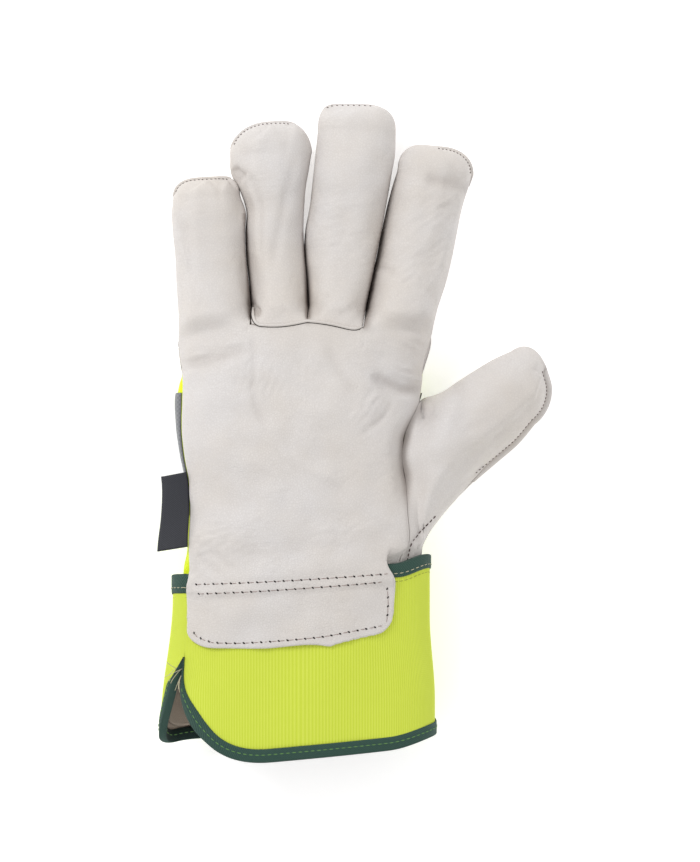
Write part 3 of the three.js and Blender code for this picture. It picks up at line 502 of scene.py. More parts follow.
# A closed skin from matching outer and inner points: material 0 outside and on the rims, material 1 inside
def makeSkin(name, outer, inner, uv, quads, materials):
    count = len(outer)
    edges = {}
    for quad in quads.tolist():
        for p, q in zip(quad, quad[1:] + quad[:1]):
            if p == q:
                continue
            if (q, p) in edges:
                del edges[(q, p)]
            else:
                edges[(p, q)] = True
    faces, slots = [], []

    def addFace(ids, slot):
        kept = [v for k, v in enumerate(ids) if v != ids[k - 1]]
        if len(set(kept)) > 2:
            faces.append(kept)
            slots.append(slot)

    for quad in quads.tolist():
        addFace(quad, 0)
        addFace([v + count for v in reversed(quad)], 1)
    rimIds = {v: k for k, v in enumerate(dict.fromkeys(v for edge in edges for v in edge))}
    at = np.array(list(rimIds))
    middle = (outer[at] + inner[at]) / 2
    proud = outer[at] - inner[at]
    along = np.zeros_like(middle)
    for p, q in edges:
        step = outer[q] - outer[p]
        along[rimIds[p]] += step
        along[rimIds[q]] += step
    out = np.cross(along, proud)
    out /= np.maximum(np.linalg.norm(out, axis=1), 1e-9)[:, None]
    rim = middle + out * rimBulge * np.minimum(np.linalg.norm(proud, axis=1), 1.4)[:, None]
    for p, q in edges:
        mp, mq = 2 * count + rimIds[p], 2 * count + rimIds[q]
        addFace([q, p, mp, mq], 0)
        addFace([mq, mp, p + count, q + count], 0)
    return makeMesh(name, np.concatenate([outer, inner, rim]), faces, slots, materials, np.r_[uv, uv])


def makeMesh(name, points, faces, slots, materials, uv=None):
    mesh = bpy.data.meshes.new(name)
    mesh.from_pydata((np.asarray(points) * mm).tolist(), [], faces)
    for material in materials:
        mesh.materials.append(material)
    if slots is not None:
        mesh.polygons.foreach_set("material_index", np.array(slots, dtype=np.int32))
    if uv is not None:
        layer = mesh.uv_layers.new(name="cloth")
        loops = np.zeros(len(mesh.loops), dtype=np.int32)
        mesh.loops.foreach_get("vertex_index", loops)
        full = np.zeros((len(points), 2))
        full[: len(uv)] = uv
        layer.data.foreach_set("uv", (full[loops] * 0.01).ravel())
    mesh.validate()
    mesh.update()
    outward(mesh)
    mesh.shade_smooth()
    piece = bpy.data.objects.new(name, mesh)
    bpy.context.collection.objects.link(piece)
    return piece


# Turns a closed mesh's faces outwards if its volume comes out negative
def outward(mesh):
    shape = bmesh.new()
    shape.from_mesh(mesh)
    if shape.calc_volume(signed=True) < 0:
        bmesh.ops.reverse_faces(shape, faces=shape.faces)
    shape.to_mesh(mesh)
    shape.free()


# Each gap between two fingers, and how wide the painted shade on the leather beside it reaches
fingerGaps = [
    ([(-20.1, 56), (-21.2, 72), (-22.8, 98)], 1.3), ([(3.1, 53.5), (2.6, 72), (1.4, 90)], 1.3),
    ([(26, 52), (29.3, 71), (33.4, 90), (38.2, 113)], 1.9),
]


# Painted shade, partly soil, where the leather is hollow: the crease beside the thumb, the gaps between the fingers and
# the dents
def markShadeAndSoil(piece):
    points = np.zeros(len(piece.data.vertices) * 3)
    piece.data.vertices.foreach_get("co", points)
    points = points.reshape(-1, 3) / mm
    x, y = points[:, 0], points[:, 1]
    edge = bodyAt(y)["right"]
    # painted shade in the crease beside the thumb
    value = 0.85 * np.exp(-(((x - edge - 0.3) / 1.7) ** 2)) * smooth(24, 12, y) * smooth(-24, -12, y)
    value += 0.3 * np.exp(-(((x - edge - 0.2) / 1.0) ** 2)) * smooth(-12, -22, y) * smooth(-41, -35, y)
    for crease in creases:
        gap, share = distanceToLine(points, crease["at"])
        ends = smooth(0, 0.2, share) * smooth(1, 0.8, share)
        value += 0.11 * max(crease["depth"], 0) * ends * np.exp(-((gap / crease["width"] * 1.3) ** 2))
    value *= smooth(12, 20, points[:, 2])
    # painted shade in the gaps between the fingers
    for gapLine, width in fingerGaps:
        gap, share = distanceToLine(points, gapLine)
        low, near = smooth(41, 34, points[:, 2]), smooth(1, 0.2, share)
        value += low * np.exp(-((gap / 0.8) ** 2))
        gap, share = distanceToLine(points, [(u + 0.5 * width, v) for u, v in gapLine])
        value += 0.8 * low * near * np.exp(-((gap / width) ** 2))
    piece.data.attributes.new("crease", "FLOAT", "POINT").data.foreach_set("value", np.clip(value, 0, 1))


# Materials are filled in further down; the pieces take them by name
paints = {name: bpy.data.materials.new(name) for name in (
    "leather", "leatherInside", "hivisCloth", "cuffCloth", "canvas", "bindingTape", "bindingShadedInside", "reflectiveTape",
    "labelWeave", "darkThread", "rustThread", "paleThread", "greenThread", "creamThread", "holeShade",
)}
pieces = {}


def keep(piece, slot, *nodes):
    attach(piece, "root")
    if nodes:
        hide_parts(*nodes)
    pieces[piece.name] = piece
    return piece


def columnsAcross(count):
    return -np.cos(math.pi * np.linspace(0, 1, count + 1))


def digitStations(digit, step):
    table = digit["table"]
    length = np.hypot(*(table[-1, :2] + table[-1, 2:4] - table[0, :2] - table[0, 2:4]) / 2)
    tip = max(10, round(digit["tip"] * 1.5 / step))
    return np.r_[np.linspace(0, 1, max(8, round(length / step))), 1 + np.linspace(0, 1, tip + 1)[1:]]


# The seam between front and back is drawn in a little, as a turned seam is
def pinched(points, middle, seamZ, amount=0.55):
    gap = (points[..., 2] - seamZ) / 1.5
    near = amount * np.exp(-(gap**2))
    toward = middle - points[..., :2]
    size = np.maximum(np.linalg.norm(toward, axis=-1), 1e-6)
    out = points.copy()
    out[..., :2] += toward / size[..., None] * (near * smooth(2, 6, size))[..., None]
    return out


# Where the seam round each tip shows from the palm side, as places along the tip's outline: about -1.3 at the
# shoulder towards the little finger, 0 at the very tip, 1.3 at the other shoulder. The back's leather then
# shows as a rim of the given width.
tips = {
    "little": {"seam": (-1.15, 0.55), "rim": 0.9, "pitch": 1.8},
    "ring": {"seam": (-1.05, 0.55), "rim": 1.0, "pitch": 1.8},
    "middle": {"seam": (-0.6, 0.45), "rim": 0.55, "pitch": 2.3},
    "index": {"seam": (0.15, 1.3), "rim": 1.1, "pitch": 1.7},
    "thumb": {"seam": (-0.25, 1.68), "rim": 2.0, "pitch": 1.75},
}


def seamShows(name, s, t):
    first, last = tips[name]["seam"]
    place = t * (2.3 - s)
    ends = smooth(first - 0.12, first + 0.12, place) * smooth(last + 0.12, last - 0.12, place)
    return ends * smooth(0.3, 0.5, s) * smooth(0.25, 0.6, np.abs(t) + np.maximum(s - 1.2, 0))


def pointsOf(name, s, t, side, d):
    return thumbPoints(s, t, side, d) if name == "thumb" else digitPoints(name, s, t, side, d)


def digitLayers(name, side, step):
    digit = digits[name]
    s, t = np.meshgrid(digitStations(digit, step), columnsAcross(look["digitCells"]), indexing="ij")
    rim = tips[name]["rim"] * seamShows(name, s, t) if side > 0 else 0.0
    outer, inner = pointsOf(name, s, t, side, rim), pointsOf(name, s, t, side, wall)
    middle = (outer[:, :1, :2] + outer[:, -1:, :2]) / 2
    seamZ = mix(outer[:, :1, 2], outer[:, -1:, 2], (t + 1) / 2)
    fade = smooth(6, 45, rootDistance(digit, s))
    inside = [1 - outside for outside in digit["outer"]]
    touching = np.where(t < 0, inside[0], inside[1]) * smooth(0.95, 0.7, s)
    outer = pinched(outer, middle, seamZ, 0.55 * fade * (1 - touching))
    for layer in (outer, inner):
        layer[..., 2] += side * seamGap / 2 + (0 if name == "thumb" else seamMeets(name, s, t, side))
    return outer, inner


# What brings a back's edge up to the palm side's along a digit's outer side
def seamMeets(name, s, t, side):
    front, back = (digitPoints(name, s[:, [0, -1]], t[:, [0, -1]], way, 0.0)[..., 2] for way in (1, -1))
    lift = (side < 0) * (front - back) * np.array(digits[name]["outer"])
    return lift[:, :1] * smooth(-0.7, -1, t) + lift[:, 1:] * smooth(0.7, 1, t)


def palmLayers(f, y, blend, side, thick, grow=0.0):
    outer, inner = palmPoints(f, y, blend, side, -grow), palmPoints(f, y, blend, side, thick - grow)
    for layer in (outer, inner):
        layer[..., 2] += side * seamGap / 2
    return outer, inner


# Leather relief, faded where a surface turns into a seam, and kept above what the glove lies on
def frontRelief(seed):
    def relief(points, normals):
        up = smooth(0.05, 0.45, normals[:, 2])
        return up * (palmRelief(points) + leatherRelief(points, seed))
    return relief


def backRelief(seed):
    def relief(points, normals):
        down = smooth(0.05, 0.5, -normals[:, 2]) * smooth(1.0, 3.5, points[:, 2] - backFloor)
        return down * leatherRelief(points, seed)
    return relief


flap = {"left": -45.1, "right": 38.0, "leftRound": 10.5, "leftRise": 6.8, "rightRound": 6.5, "rightRise": 7.5}
flapBottom = np.array([
    (-46, -78.1), (-34.6, -78.0), (-13.8, -77.9), (9.0, -76.6), (11.8, -77.0), (16, -75.8), (24.7, -73.8),
    (32.4, -72.2), (39, -70.9),
])


# The tab over the cuff goes on from the palm's last row, so that both are one sheet of leather
def flapLayers(start, startInner, step):
    rows = np.linspace(0, 1, round(36 / step))[:, None]
    x0 = start[:, 0][None, :]
    u = (x0 - x0[0, 0]) / (x0[0, -1] - x0[0, 0])
    swell = 0.6 * np.sin(math.pi * np.minimum(rows * 1.1, 1))
    x = mix(x0, mix(flap["left"] - swell, flap["right"] + swell, u), smooth(0, mix(0.3, 0.42, u), rows))
    side = u * (flap["right"] - flap["left"])
    left = 1 - np.clip(side / flap["leftRound"], 0, 1)
    right = 1 - np.clip(((flap["right"] - flap["left"]) - side) / flap["rightRound"], 0, 1)
    rise = flap["leftRise"] * (1 - np.sqrt(1 - left**2)) + flap["rightRise"] * (1 - np.sqrt(1 - right**2))
    ragged = 0.2 * np.sin(x * 3.1) * np.sin(x * 1.3 + 1) * smooth(8, 14, x) * smooth(36, 30, x)
    bottom = curveThrough(flapBottom[:, 0], flapBottom, x, ("x", "y"))["y"] + ragged + rise
    y = mix(start[:, 1][None, :], bottom, rows)
    below = cuffTop(x, cuff["z"] + cuff["halfHeight"]) - y
    uneven = waveField(np.stack([x, y, 0 * x], -1).reshape(-1, 3), 22, 71).reshape(x.shape)
    lift = flapLeather + 0.5 + 1.15 * smooth(9, 5.5, below) + 0.15 * uneven
    over = sectionOver(x, lift)
    z = mix(bodyZ(x, y, 1, 0) + seamGap / 2, over, smooth(wristGap, -2.5, y - cuffTop(x, 48)))
    outer = np.stack([x, y, z], -1)
    outer[0] = start
    inner = outer.copy()
    inner[..., 2] -= flapLeather
    inner[0] = startInner
    return outer, inner


def buildPalm():
    step = look["rowStep"]
    cells = look["digitCells"]
    fs = np.linspace(0, 4, 4 * cells + 1)
    rootRows = np.linspace(0, 1, round(17 / step))
    wristX = palmPoints(fs, -43.0, 1.0, 1, 0)[..., 0]
    under = smooth(flapEnd, flapEnd + 0.1, fs)
    end = mix(wristY(wristX), cuffTop(wristX, 40) - tuck["under"], under)
    downRows = np.linspace(0, 1, round(76 / step))[1:]
    f = np.broadcast_to(fs, (len(rootRows) + len(downRows), len(fs)))
    rootY = np.full((len(rootRows), len(fs)), knuckleEdge)
    y = np.concatenate([rootY, mix(knuckleEdge, end[None], downRows[:, None])])
    blend = np.r_[rootRows, np.ones(len(downRows))][:, None] + 0 * f
    outer, inner = palmLayers(f, y, blend, 1, wall)
    outer, inner = (mix(layer, tucked(layer, d), under[None, :, None]) for layer, d in ((outer, 0), (inner, wall)))
    sheet = Sheet().patch(outer[::-1], inner[::-1])
    kept = fs <= flapEnd + 1e-6
    flapOuter, flapInner = flapLayers(outer[-1][kept], inner[-1][kept], step)
    sheet.patch(flapOuter[::-1], flapInner[::-1])
    for name in ("little", "index"):
        sheet.patch(*digitLayers(name, 1, step))
    piece = sheet.make("palmLeather", [paints["leather"], paints["leatherInside"]], frontRelief(1))
    keep(piece, "leather", "palm_leather")
    markShadeAndSoil(piece)


def buildDigits():
    step = look["rowStep"]
    for name in ("ring", "middle", "thumb"):
        piece = Sheet().patch(*digitLayers(name, 1, step)).make(
            name + "Front", [paints["leather"], paints["leatherInside"]], frontRelief(1))
        keep(piece, "leather", "thumb_front" if name == "thumb" else name + "_finger_front")
        markShadeAndSoil(piece)
    for k, name in enumerate(digits):
        piece = Sheet().patch(*digitLayers(name, -1, step * 1.3)).make(
            name + "Back", [paints["leather"], paints["leatherInside"]], backRelief(20 + k))
        keep(piece, "leather", "thumb_back" if name == "thumb" else name + "_finger_back")
        markShadeAndSoil(piece)


def buildBack():
    fs = np.linspace(0, 4, 4 * look["digitCells"] + 1)
    step = look["clothStep"]

    def rowsBetween(a, b):
        ys = np.linspace(a, b, max(4, round(abs(a - b) / step)))
        return np.broadcast_to(fs, (len(ys), len(fs))), np.broadcast_to(ys[:, None], (len(ys), len(fs)))

    f, y = rowsBetween(knuckleEdge - seamGap, tuck["y"])
    cloth = Sheet().patch(*palmLayers(f, y, 1.0 + 0 * f, -1, wall)).make(
        "backCloth", [paints["hivisCloth"], paints["leatherInside"]], backRelief(31))
    keep(cloth, "hivis_cloth", "back_cloth")
    f, y = rowsBetween(*bandEdges)
    outer, inner = palmLayers(f, y, 1.0 + 0 * f, -1, bandThick, seamGap + bandThick)
    band = Sheet().patch(outer, inner).make("reflectiveBand", [paints["reflectiveTape"]] * 2)
    keep(band, "reflective_tape", "reflective_band")
    blends = np.linspace(0.02, 1, round(19 / look["rowStep"]))
    f = np.broadcast_to(fs, (len(blends), len(fs)))
    strap = Sheet().patch(*palmLayers(f, knuckleEdge + 0 * f, blends[:, None] + 0 * f, -1, wall)).make(
        "knuckleStrap", [paints["leather"], paints["leatherInside"]], backRelief(41))
    keep(strap, "leather", "knuckle_strap")


print("stage: leather")
buildPalm()
buildDigits()
print("stage: back")
buildBack()


liningEdge = 5.6
ribs = {"count": 265, "height": 0.07}  # fine upright ribs of the cuff's cloth


# Turns round the cuff, closer together at the rounded corners of its split
def cuffTurns(step):
    corner = np.linspace(0, 1, round(38 / step)) ** 1.7 * 0.15
    middle = np.linspace(0.15, 0.85, round(0.7 * cuffGirth / step))[1:-1]
    return np.r_[corner, middle, 1 - corner[::-1]]


# Rows down the cuff: 0 at its top edge, 1 where the lining ends, 2 at the hem
def cuffLayer(turns, rows, d, softness):
    turn, v = np.meshgrid(turns % 1, rows)
    flat = cuffPoints(turn, -90.0, 0)
    liningEnd = cuffBottom(flat[..., 0], flat[..., 2], turn, liningEdge)
    hem = cuffBottom(flat[..., 0], flat[..., 2], turn)
    y = np.where(v < 1, mix(cuffTop(flat[..., 0], flat[..., 2]), liningEnd, v), mix(liningEnd, hem, v - 1))
    points = cuffPoints(turn, y, d)
    wave = waveField(points.reshape(-1, 3) * (1, 1, 0.5), 38, 51).reshape(turn.shape)
    points[..., 2] += softness * wave * smooth(6, 14, points[..., 2]) * smooth(0, 0.25, v) * smooth(2, 1.2, v)
    return points, np.stack([turn * cuffGirth, y], -1)


def buildCuff():
    step = look["clothStep"]
    turns = cuffTurns(step)
    turns = np.linspace(0, 1, ribs["count"] * 4 + 1)
    rows = np.r_[np.linspace(0, 1, 30), np.linspace(1, 2, 10)[1:]]
    relief = ribs["height"] * np.cos(turns * ribs["count"] * math.tau)
    outer, uv = cuffLayer(turns, rows, relief, 0.3)
    inner, _ = cuffLayer(turns, rows, -cuff["thick"], 0.3)
    tube = Sheet().patch(outer, inner, uv).make("cuffCloth", [paints["cuffCloth"], paints["canvas"]])
    keep(tube, "cuff_cloth", "cuff")
    rows = np.linspace(0.25, 1, round(48 / step))
    outer, uv = cuffLayer(turns, rows, -cuff["thick"] - 0.25, 0.3)
    inner, _ = cuffLayer(turns, rows, -cuff["thick"] - 0.95, 0.3)
    lining = Sheet().patch(outer, inner, uv).make("canvasLining", [paints["canvas"], paints["canvas"]])
    keep(lining, "cuff_canvas", "cuff_lining")


# A solid swept through rings of points
def sweptMesh(name, rings, loop, materials, uv=None, slotOf=lambda k: 0):
    count, size = len(rings), len(rings[0])
    faces, slots = [], []
    for i in range(count if loop else count - 1):
        n = (i + 1) % count
        for k in range(size):
            m = (k + 1) % size
            faces.append([i * size + k, i * size + m, n * size + m, n * size + k])
        slots += [slotOf(k) for k in range(size)]
    if not loop:
        faces += [list(range(size))[::-1], [(count - 1) * size + k for k in range(size)]]
        slots += [0, 0]
    return makeMesh(name, np.concatenate(rings), faces, slots, materials, uv)


# The path of a cuff edge: turns, heights and, for each, the way across the binding
def edgePath(edgeY, inwards, step):
    turns = cuffTurns(step)[:-1]
    flat = cuffPoints(turns, -90.0, 0)
    y = edgeY(flat[:, 0], flat[:, 2], turns)
    run = ((np.roll(turns, -1) - np.roll(turns, 1) + 1.5) % 1 - 0.5) * cuffGirth
    rise = np.roll(y, -1) - np.roll(y, 1)
    size = np.hypot(run, rise)
    return turns, y, -rise / size * inwards, run / size * inwards


def edgePoint(path, over, out):
    turns, y, across, up = path
    return cuffPoints(turns + across * over / cuffGirth, y + up * over, out)


# The share of its width that the hem's binding has below the split's narrow top, in front and behind
def splitTaper(path):
    below = split["top"] - path[1]
    return mix(0.1, 1, np.where(path[0] < 0.5, smooth(2, 26, below), smooth(6, 13, below)))


binding = {"thick": 0.6, "topThick": 0.42, "width": 5.0, "topWidth": 5.1, "topWider": 2.2, "gap": 0.2}


def buildBinding(name, node, edgeY, inwards, width, t):
    path = edgePath(edgeY, inwards, 1.0)
    if inwards > 0:
        widths = splitTaper(path) * width
    else:
        widths = width + binding["topWider"] * smooth(-30, -48, edgePoint(path, 0, 0)[:, 0])
    g, c = binding["gap"], cuff["thick"]
    half = c / 2 + g + t
    rim = [(-c / 2 + half * math.cos(a), -0.35 * half * math.sin(a)) for a in np.linspace(0, math.pi, 7)]
    lips = [(g, 1), (g + 0.55 * t, 1.02), (g + 0.95 * t, 0.9), (g + 1.02 * t, 0.5), *rim,
            (-c - g - t, 0.5), (-c - g - 0.8 * t, 1), (-c - g, 1), (-c - g, -0.1), (g, -0.1)]
    rings = np.stack([edgePoint(path, over * widths if over > 0 else over, out) for out, over in lips], 1)
    along = np.r_[0, np.cumsum(np.linalg.norm(np.diff(rings[:, 3], axis=0), axis=1))]
    across = np.array([over * width + out for out, over in lips])
    uv = np.stack(np.broadcast_arrays(along[:, None], across[None]), -1).reshape(-1, 2)
    # the binding's inner face takes a darker copy of the tape, as painted shade
    tape = [paints["bindingTape"], paints["bindingShadedInside"]]
    piece = sweptMesh(name, list(rings), True, tape, uv, lambda k: int(k >= len(rim) + 3))
    keep(piece, "binding_tape", node)
    return path, widths


# Many short threads as one mesh: centre, direction, surface normal, and each thread's length, radius and rise
def threadMesh(name, items, material, slot):
    sides, stations = 6, np.linspace(-1, 1, 7)
    points, faces = [], []
    for centre, way, normal, length, radius, rise in items:
        way, normal = np.array(way, float), np.array(normal, float)
        way /= max(np.linalg.norm(way), 1e-9)
        normal -= way * (normal @ way)
        normal /= max(np.linalg.norm(normal), 1e-9)
        cross = np.cross(way, normal)
        start = len(points)
        for u in stations:
            at = np.array(centre) + way * u * length / 2 + normal * rise * (1 - u * u)
            thick = radius * math.sqrt(max(0.04, 1 - 0.85 * u**4))
            for k in range(sides):
                a = 2 * math.pi * k / sides
                points.append(at + thick * (math.cos(a) * cross + math.sin(a) * normal))
        rings = len(stations)
        for i in range(rings - 1):
            for k in range(sides):
                p, q = start + i * sides + k, start + i * sides + (k + 1) % sides
                faces.append([p, q, q + sides, p + sides])
        faces.append([start + k for k in range(sides)][::-1])
        faces.append([start + (rings - 1) * sides + k for k in range(sides)])
    return keep(makeMesh(name, points, faces, None, [material]), slot)


# Places evenly spaced along a line of points, with the way the line runs there
def spaced(line, pitch):
    line = np.asarray(line, float)
    knots = np.r_[0, np.cumsum(np.linalg.norm(np.diff(line, axis=0), axis=1))]
    at = np.arange(pitch / 2, knots[-1], pitch)

    def place(v):
        return np.stack([np.interp(v, knots, line[:, k]) for k in range(line.shape[1])], -1)

    return place(at), place(np.minimum(at + 0.3, knots[-1])) - place(np.maximum(at - 0.3, 0))


# The outer surface of some pieces, asked from above for a point and its normal in millimetres
class Surface:
    def __init__(self, *names):
        points, faces = [], []
        for name in names:
            mesh = pieces[name].data
            start = len(points)
            points += [v.co.copy() for v in mesh.vertices]
            faces += [[start + v for v in p.vertices] for p in mesh.polygons]
        self.tree = BVHTree.FromPolygons(points, faces)

    def above(self, x, y):
        hit, normal, _, _ = self.tree.ray_cast(Vector((x * mm, y * mm, 0.2)), Vector((0, 0, -1)))
        return (None, None) if hit is None else (np.array(hit) / mm, np.array(normal))


# The rows on the tab over the cuff: sizes in mm, and the needle holes' slant in radians
sewing = {"pitch": 3.55, "thread": 0.1, "holeLength": 1.15, "holeRadius": 0.36, "slant": -0.6}


# A sewn row on a surface: a thin thread between needle holes shown as dark painted shade, as the flap shows
def sewnRow(surface, line, threads, holes):
    pitch, slant = sewing["pitch"], sewing["slant"]
    places, ways = spaced(line, pitch)
    for (x, y), (wx, wy) in zip(places, ways):
        at, normal = surface.above(x, y)
        if at is None:
            continue
        turned = (wx * math.cos(slant) - wy * math.sin(slant), wx * math.sin(slant) + wy * math.cos(slant), 0)
        holes.append((at - normal * 0.12, turned, normal, sewing["holeLength"], sewing["holeRadius"], 0.08))
        half = np.array([wx, wy]) / max(math.hypot(wx, wy), 1e-9) * pitch / 2
        mid, up = surface.above(x + half[0], y + half[1])
        if mid is not None:
            threads.append((mid - up * 0.05, (wx, wy, 0), up, pitch * 0.78, sewing["thread"], 0.1))


# The outline of a digit's seam round its tip, and how far the seam shows at each place
def tipOutline(name):
    back = np.linspace(0.6, 1, 14)[:-1]
    up = 1 + np.linspace(0, 1, 20)
    s = np.r_[back, up, np.full(10, 2.0), up[::-1], back[::-1]]
    t = np.r_[np.full(33, -1.0), np.linspace(-1, 1, 12)[1:-1], np.full(33, 1.0)]
    return pointsOf(name, s, t, -1, 0.0), seamShows(name, s, t)


def buildTips():
    threads = []
    for name, tip in tips.items():
        line, shows = tipOutline(name)
        path, ways = spaced(np.c_[line, shows], 0.7)
        path, shows, ways = path[:, :3], path[:, 3], ways[:, :2]
        out = np.stack([-ways[:, 1], ways[:, 0]], -1) / np.linalg.norm(ways, axis=1)[:, None]
        kept = np.flatnonzero(shows > 0.02)
        rings = []
        for k in kept:
            half = 0.12 + (tip["rim"] / 2 + 0.3) * shows[k]
            high = 0.2 + 0.6 * shows[k]
            centre = path[k] - np.r_[out[k] * (half - 0.05), 0] + (0, 0, 0.1 - 0.5 * (1 - shows[k]))
            rings.append([centre + (half * math.cos(a) * out[k][0], half * math.cos(a) * out[k][1], high * math.sin(a))
                          for a in np.linspace(0, 2 * math.pi, 11)[:-1]])
        keep(sweptMesh(name + "TipRim", rings, False, [paints["leather"]]), "leather")
        surface = Surface("palmLeather" if name in ("little", "index") else name + "Front")
        places, ways = spaced(np.c_[line, tipOutline(name)[1]], tip["pitch"])
        for at, way in zip(places, ways):
            if at[3] < 0.5:
                continue
            way = way[:2] / max(np.linalg.norm(way[:2]), 1e-9)
            side = np.array([-way[1], way[0]])
            spot, normal = surface.above(*(at[:2] - side * (tip["rim"] + 0.45)))
            if spot is not None:
                slanted = (way[0] - 0.5 * side[0], way[1] - 0.5 * side[1], 0)
                threads.append((spot - normal * 0.02, slanted, normal, 0.95, 0.2, 0.08))
    threadMesh("tipStitches", threads, paints["darkThread"], "leather")


# The welt and the dark line of painted shade below it: how far each lies above the seam's line, its radius and how deep
# it sits
welts = {
    "rootWelt": {"push": 0.55, "radius": 0.62, "drop": 0.12, "paint": "leather"},
    "rootSeam": {"push": -0.15, "radius": 0.22, "drop": 0.26, "paint": "holeShade"},
}


# The welt across the roots of the ring and middle fingers, with a dark line of painted shade along the seam below it
def buildWelt():
    f = np.linspace(1.0, 3.0, 90)
    line = palmPoints(f, knuckleEdge + 0 * f, 0 * f, 1, 0)[:, :2]
    corner = np.array([(-19.7, 60.4), (-19.6, 58.0), (-19.3, 55.7), (-18.5, 53.7), (-16.9, 52.3)])
    line = np.concatenate([corner, line[line[:, 0] > -14.5]])
    knots = np.r_[0, np.cumsum(np.linalg.norm(np.diff(line, axis=0), axis=1))]
    line = np.stack(list(curveThrough(knots, line, np.linspace(0, knots[-1], 120), ("x", "y")).values()), -1)
    surface = Surface("palmLeather", "ringFront", "middleFront")
    path, ways = spaced(line, 0.6)
    heights = []
    for x, y in path:
        beside = ((0, 0), (0.8, 0.8), (-0.8, -0.8), (0.8, -0.8), (-0.5, 1.0))
        around = [surface.above(x + dx, y + dy)[0] for dx, dy in beside]
        heights.append(max(hit[2] for hit in around if hit is not None))
    heights = np.convolve(np.pad(heights, 3, mode="edge"), np.ones(7) / 7, mode="valid")
    for name, welt in welts.items():
        rings = []
        for k, ((x, y), (wx, wy)) in enumerate(zip(path, ways)):
            size = math.hypot(wx, wy)
            out = np.array([-wy / size, wx / size, 0])
            ends = math.sin(math.pi * min(1, min(k, len(path) - 1 - k) / 6) / 2)
            thick = welt["radius"] * (0.3 + 0.7 * ends)
            centre = np.array([x, y, heights[k] - welt["drop"] - 0.5 * (1 - ends)]) + out * welt["push"]
            rings.append([centre + thick * (math.cos(a) * out + math.sin(a) * np.array([0, 0, 1]))
                          for a in np.linspace(0, 2 * math.pi, 9)[:-1]])
        piece = sweptMesh(name, rings, False, [paints[welt["paint"]]])
        keep(piece, "leather", *(["root_welt"] if name == "rootWelt" else []))


# The rows sewn on the tab, and the row beside the thumb
flapRows = [
    [(-43.4, -52.7), (-20, -51.6), (10, -49.9), (33.5, -48.3)],
    [(-42.3, -56.5), (-20, -55.3), (10, -53.3), (33.5, -51.5)],
    [(35.3, -52.5), (35.8, -57.5), (35.7, -63.7), (35.2, -68.2)],
    [(-43.6, -70.8), (-42.0, -73.0), (-39.3, -74.6), (-36.3, -75.6), (-29.2, -76.1), (-15.3, -75.6), (-1.5, -74.5),
     (12.4, -72.9), (19.3, -71.6), (29.3, -69.9), (33.6, -69.1)],
]
thumbRow = [
    (55.5, -25), (53.4, -27.1), (48.8, -31.9), (45.9, -35.3), (45.0, -37.6), (44.3, -40.5), (43.8, -43.5),
]


def buildStitching(hemPath, topPath):
    surface = Surface("palmLeather")
    threads, holes = [], []
    for row in flapRows:
        row = np.array(row, float)
        knots = np.r_[0, np.cumsum(np.linalg.norm(np.diff(row, axis=0), axis=1))]
        fine = curveThrough(knots, row, np.linspace(0, knots[-1], 60), ("x", "y"))
        sewnRow(surface, np.stack([fine["x"], fine["y"]], -1), threads, holes)
    threadMesh("flapThread", threads, paints["rustThread"], "leather")
    # the needle holes are dark pieces of painted shade
    threadMesh("flapHoles", holes, paints["holeShade"], "leather")
    seam = []
    thumbSurface = Surface("thumbFront")
    for (x, y), (wx, wy) in zip(*spaced(thumbRow, 2.1)):
        at, normal = thumbSurface.above(x, y)
        if at is not None:
            seam.append((at, (wx, wy, 0), normal, 1.6, 0.24, 0.14))
    threadMesh("thumbStitches", seam, paints["darkThread"], "leather")
    for name, (path, widths), share, pitch, thick, paint in (
            ("hemStitches", hemPath, 0.55, 2.5, binding["thick"], "greenThread"),
            ("topStitches", topPath, 0.7, 2.7, binding["topThick"], "creamThread")):
        items = []
        for out, flip in ((thick + 0.26, 1), (-cuff["thick"] - thick - 0.26, -1)):
            line = np.c_[edgePoint(path, share * widths, out), widths + 0 * path[0]]
            for at, way in zip(*spaced(line, pitch)):
                normal = np.array([at[0] - cuff["x"], 0, (at[2] - cuff["z"]) * 3.2]) * flip
                if at[2] > 0.6 and at[3] > 2.6:
                    items.append((at[:3], way[:3], normal, pitch * 0.62, 0.17, 0.05))
        threadMesh(name, items, paints[paint], "binding_tape")
    path, widths = topPath
    items = []
    for at, way in zip(*spaced(edgePoint(path, widths + 1.8, 0.05), 2.4)):
        if abs(at[0]) > 36 or at[2] < 25:
            items.append((at, way, [at[0] - cuff["x"], 0, (at[2] - cuff["z"]) * 3.2], 1.7, 0.12, 0.02))
    threadMesh("secondTopRow", items, paints["paleThread"], "cuff_cloth")


# How far the label reaches at its top and bottom, the ends of its height, its sink at the fold, and its fold's gap
label = {"out": (10.0, 12.0), "top": -7.2, "bottom": -37.6, "sink": 1.9, "thick": 0.5, "fold": 0.9}


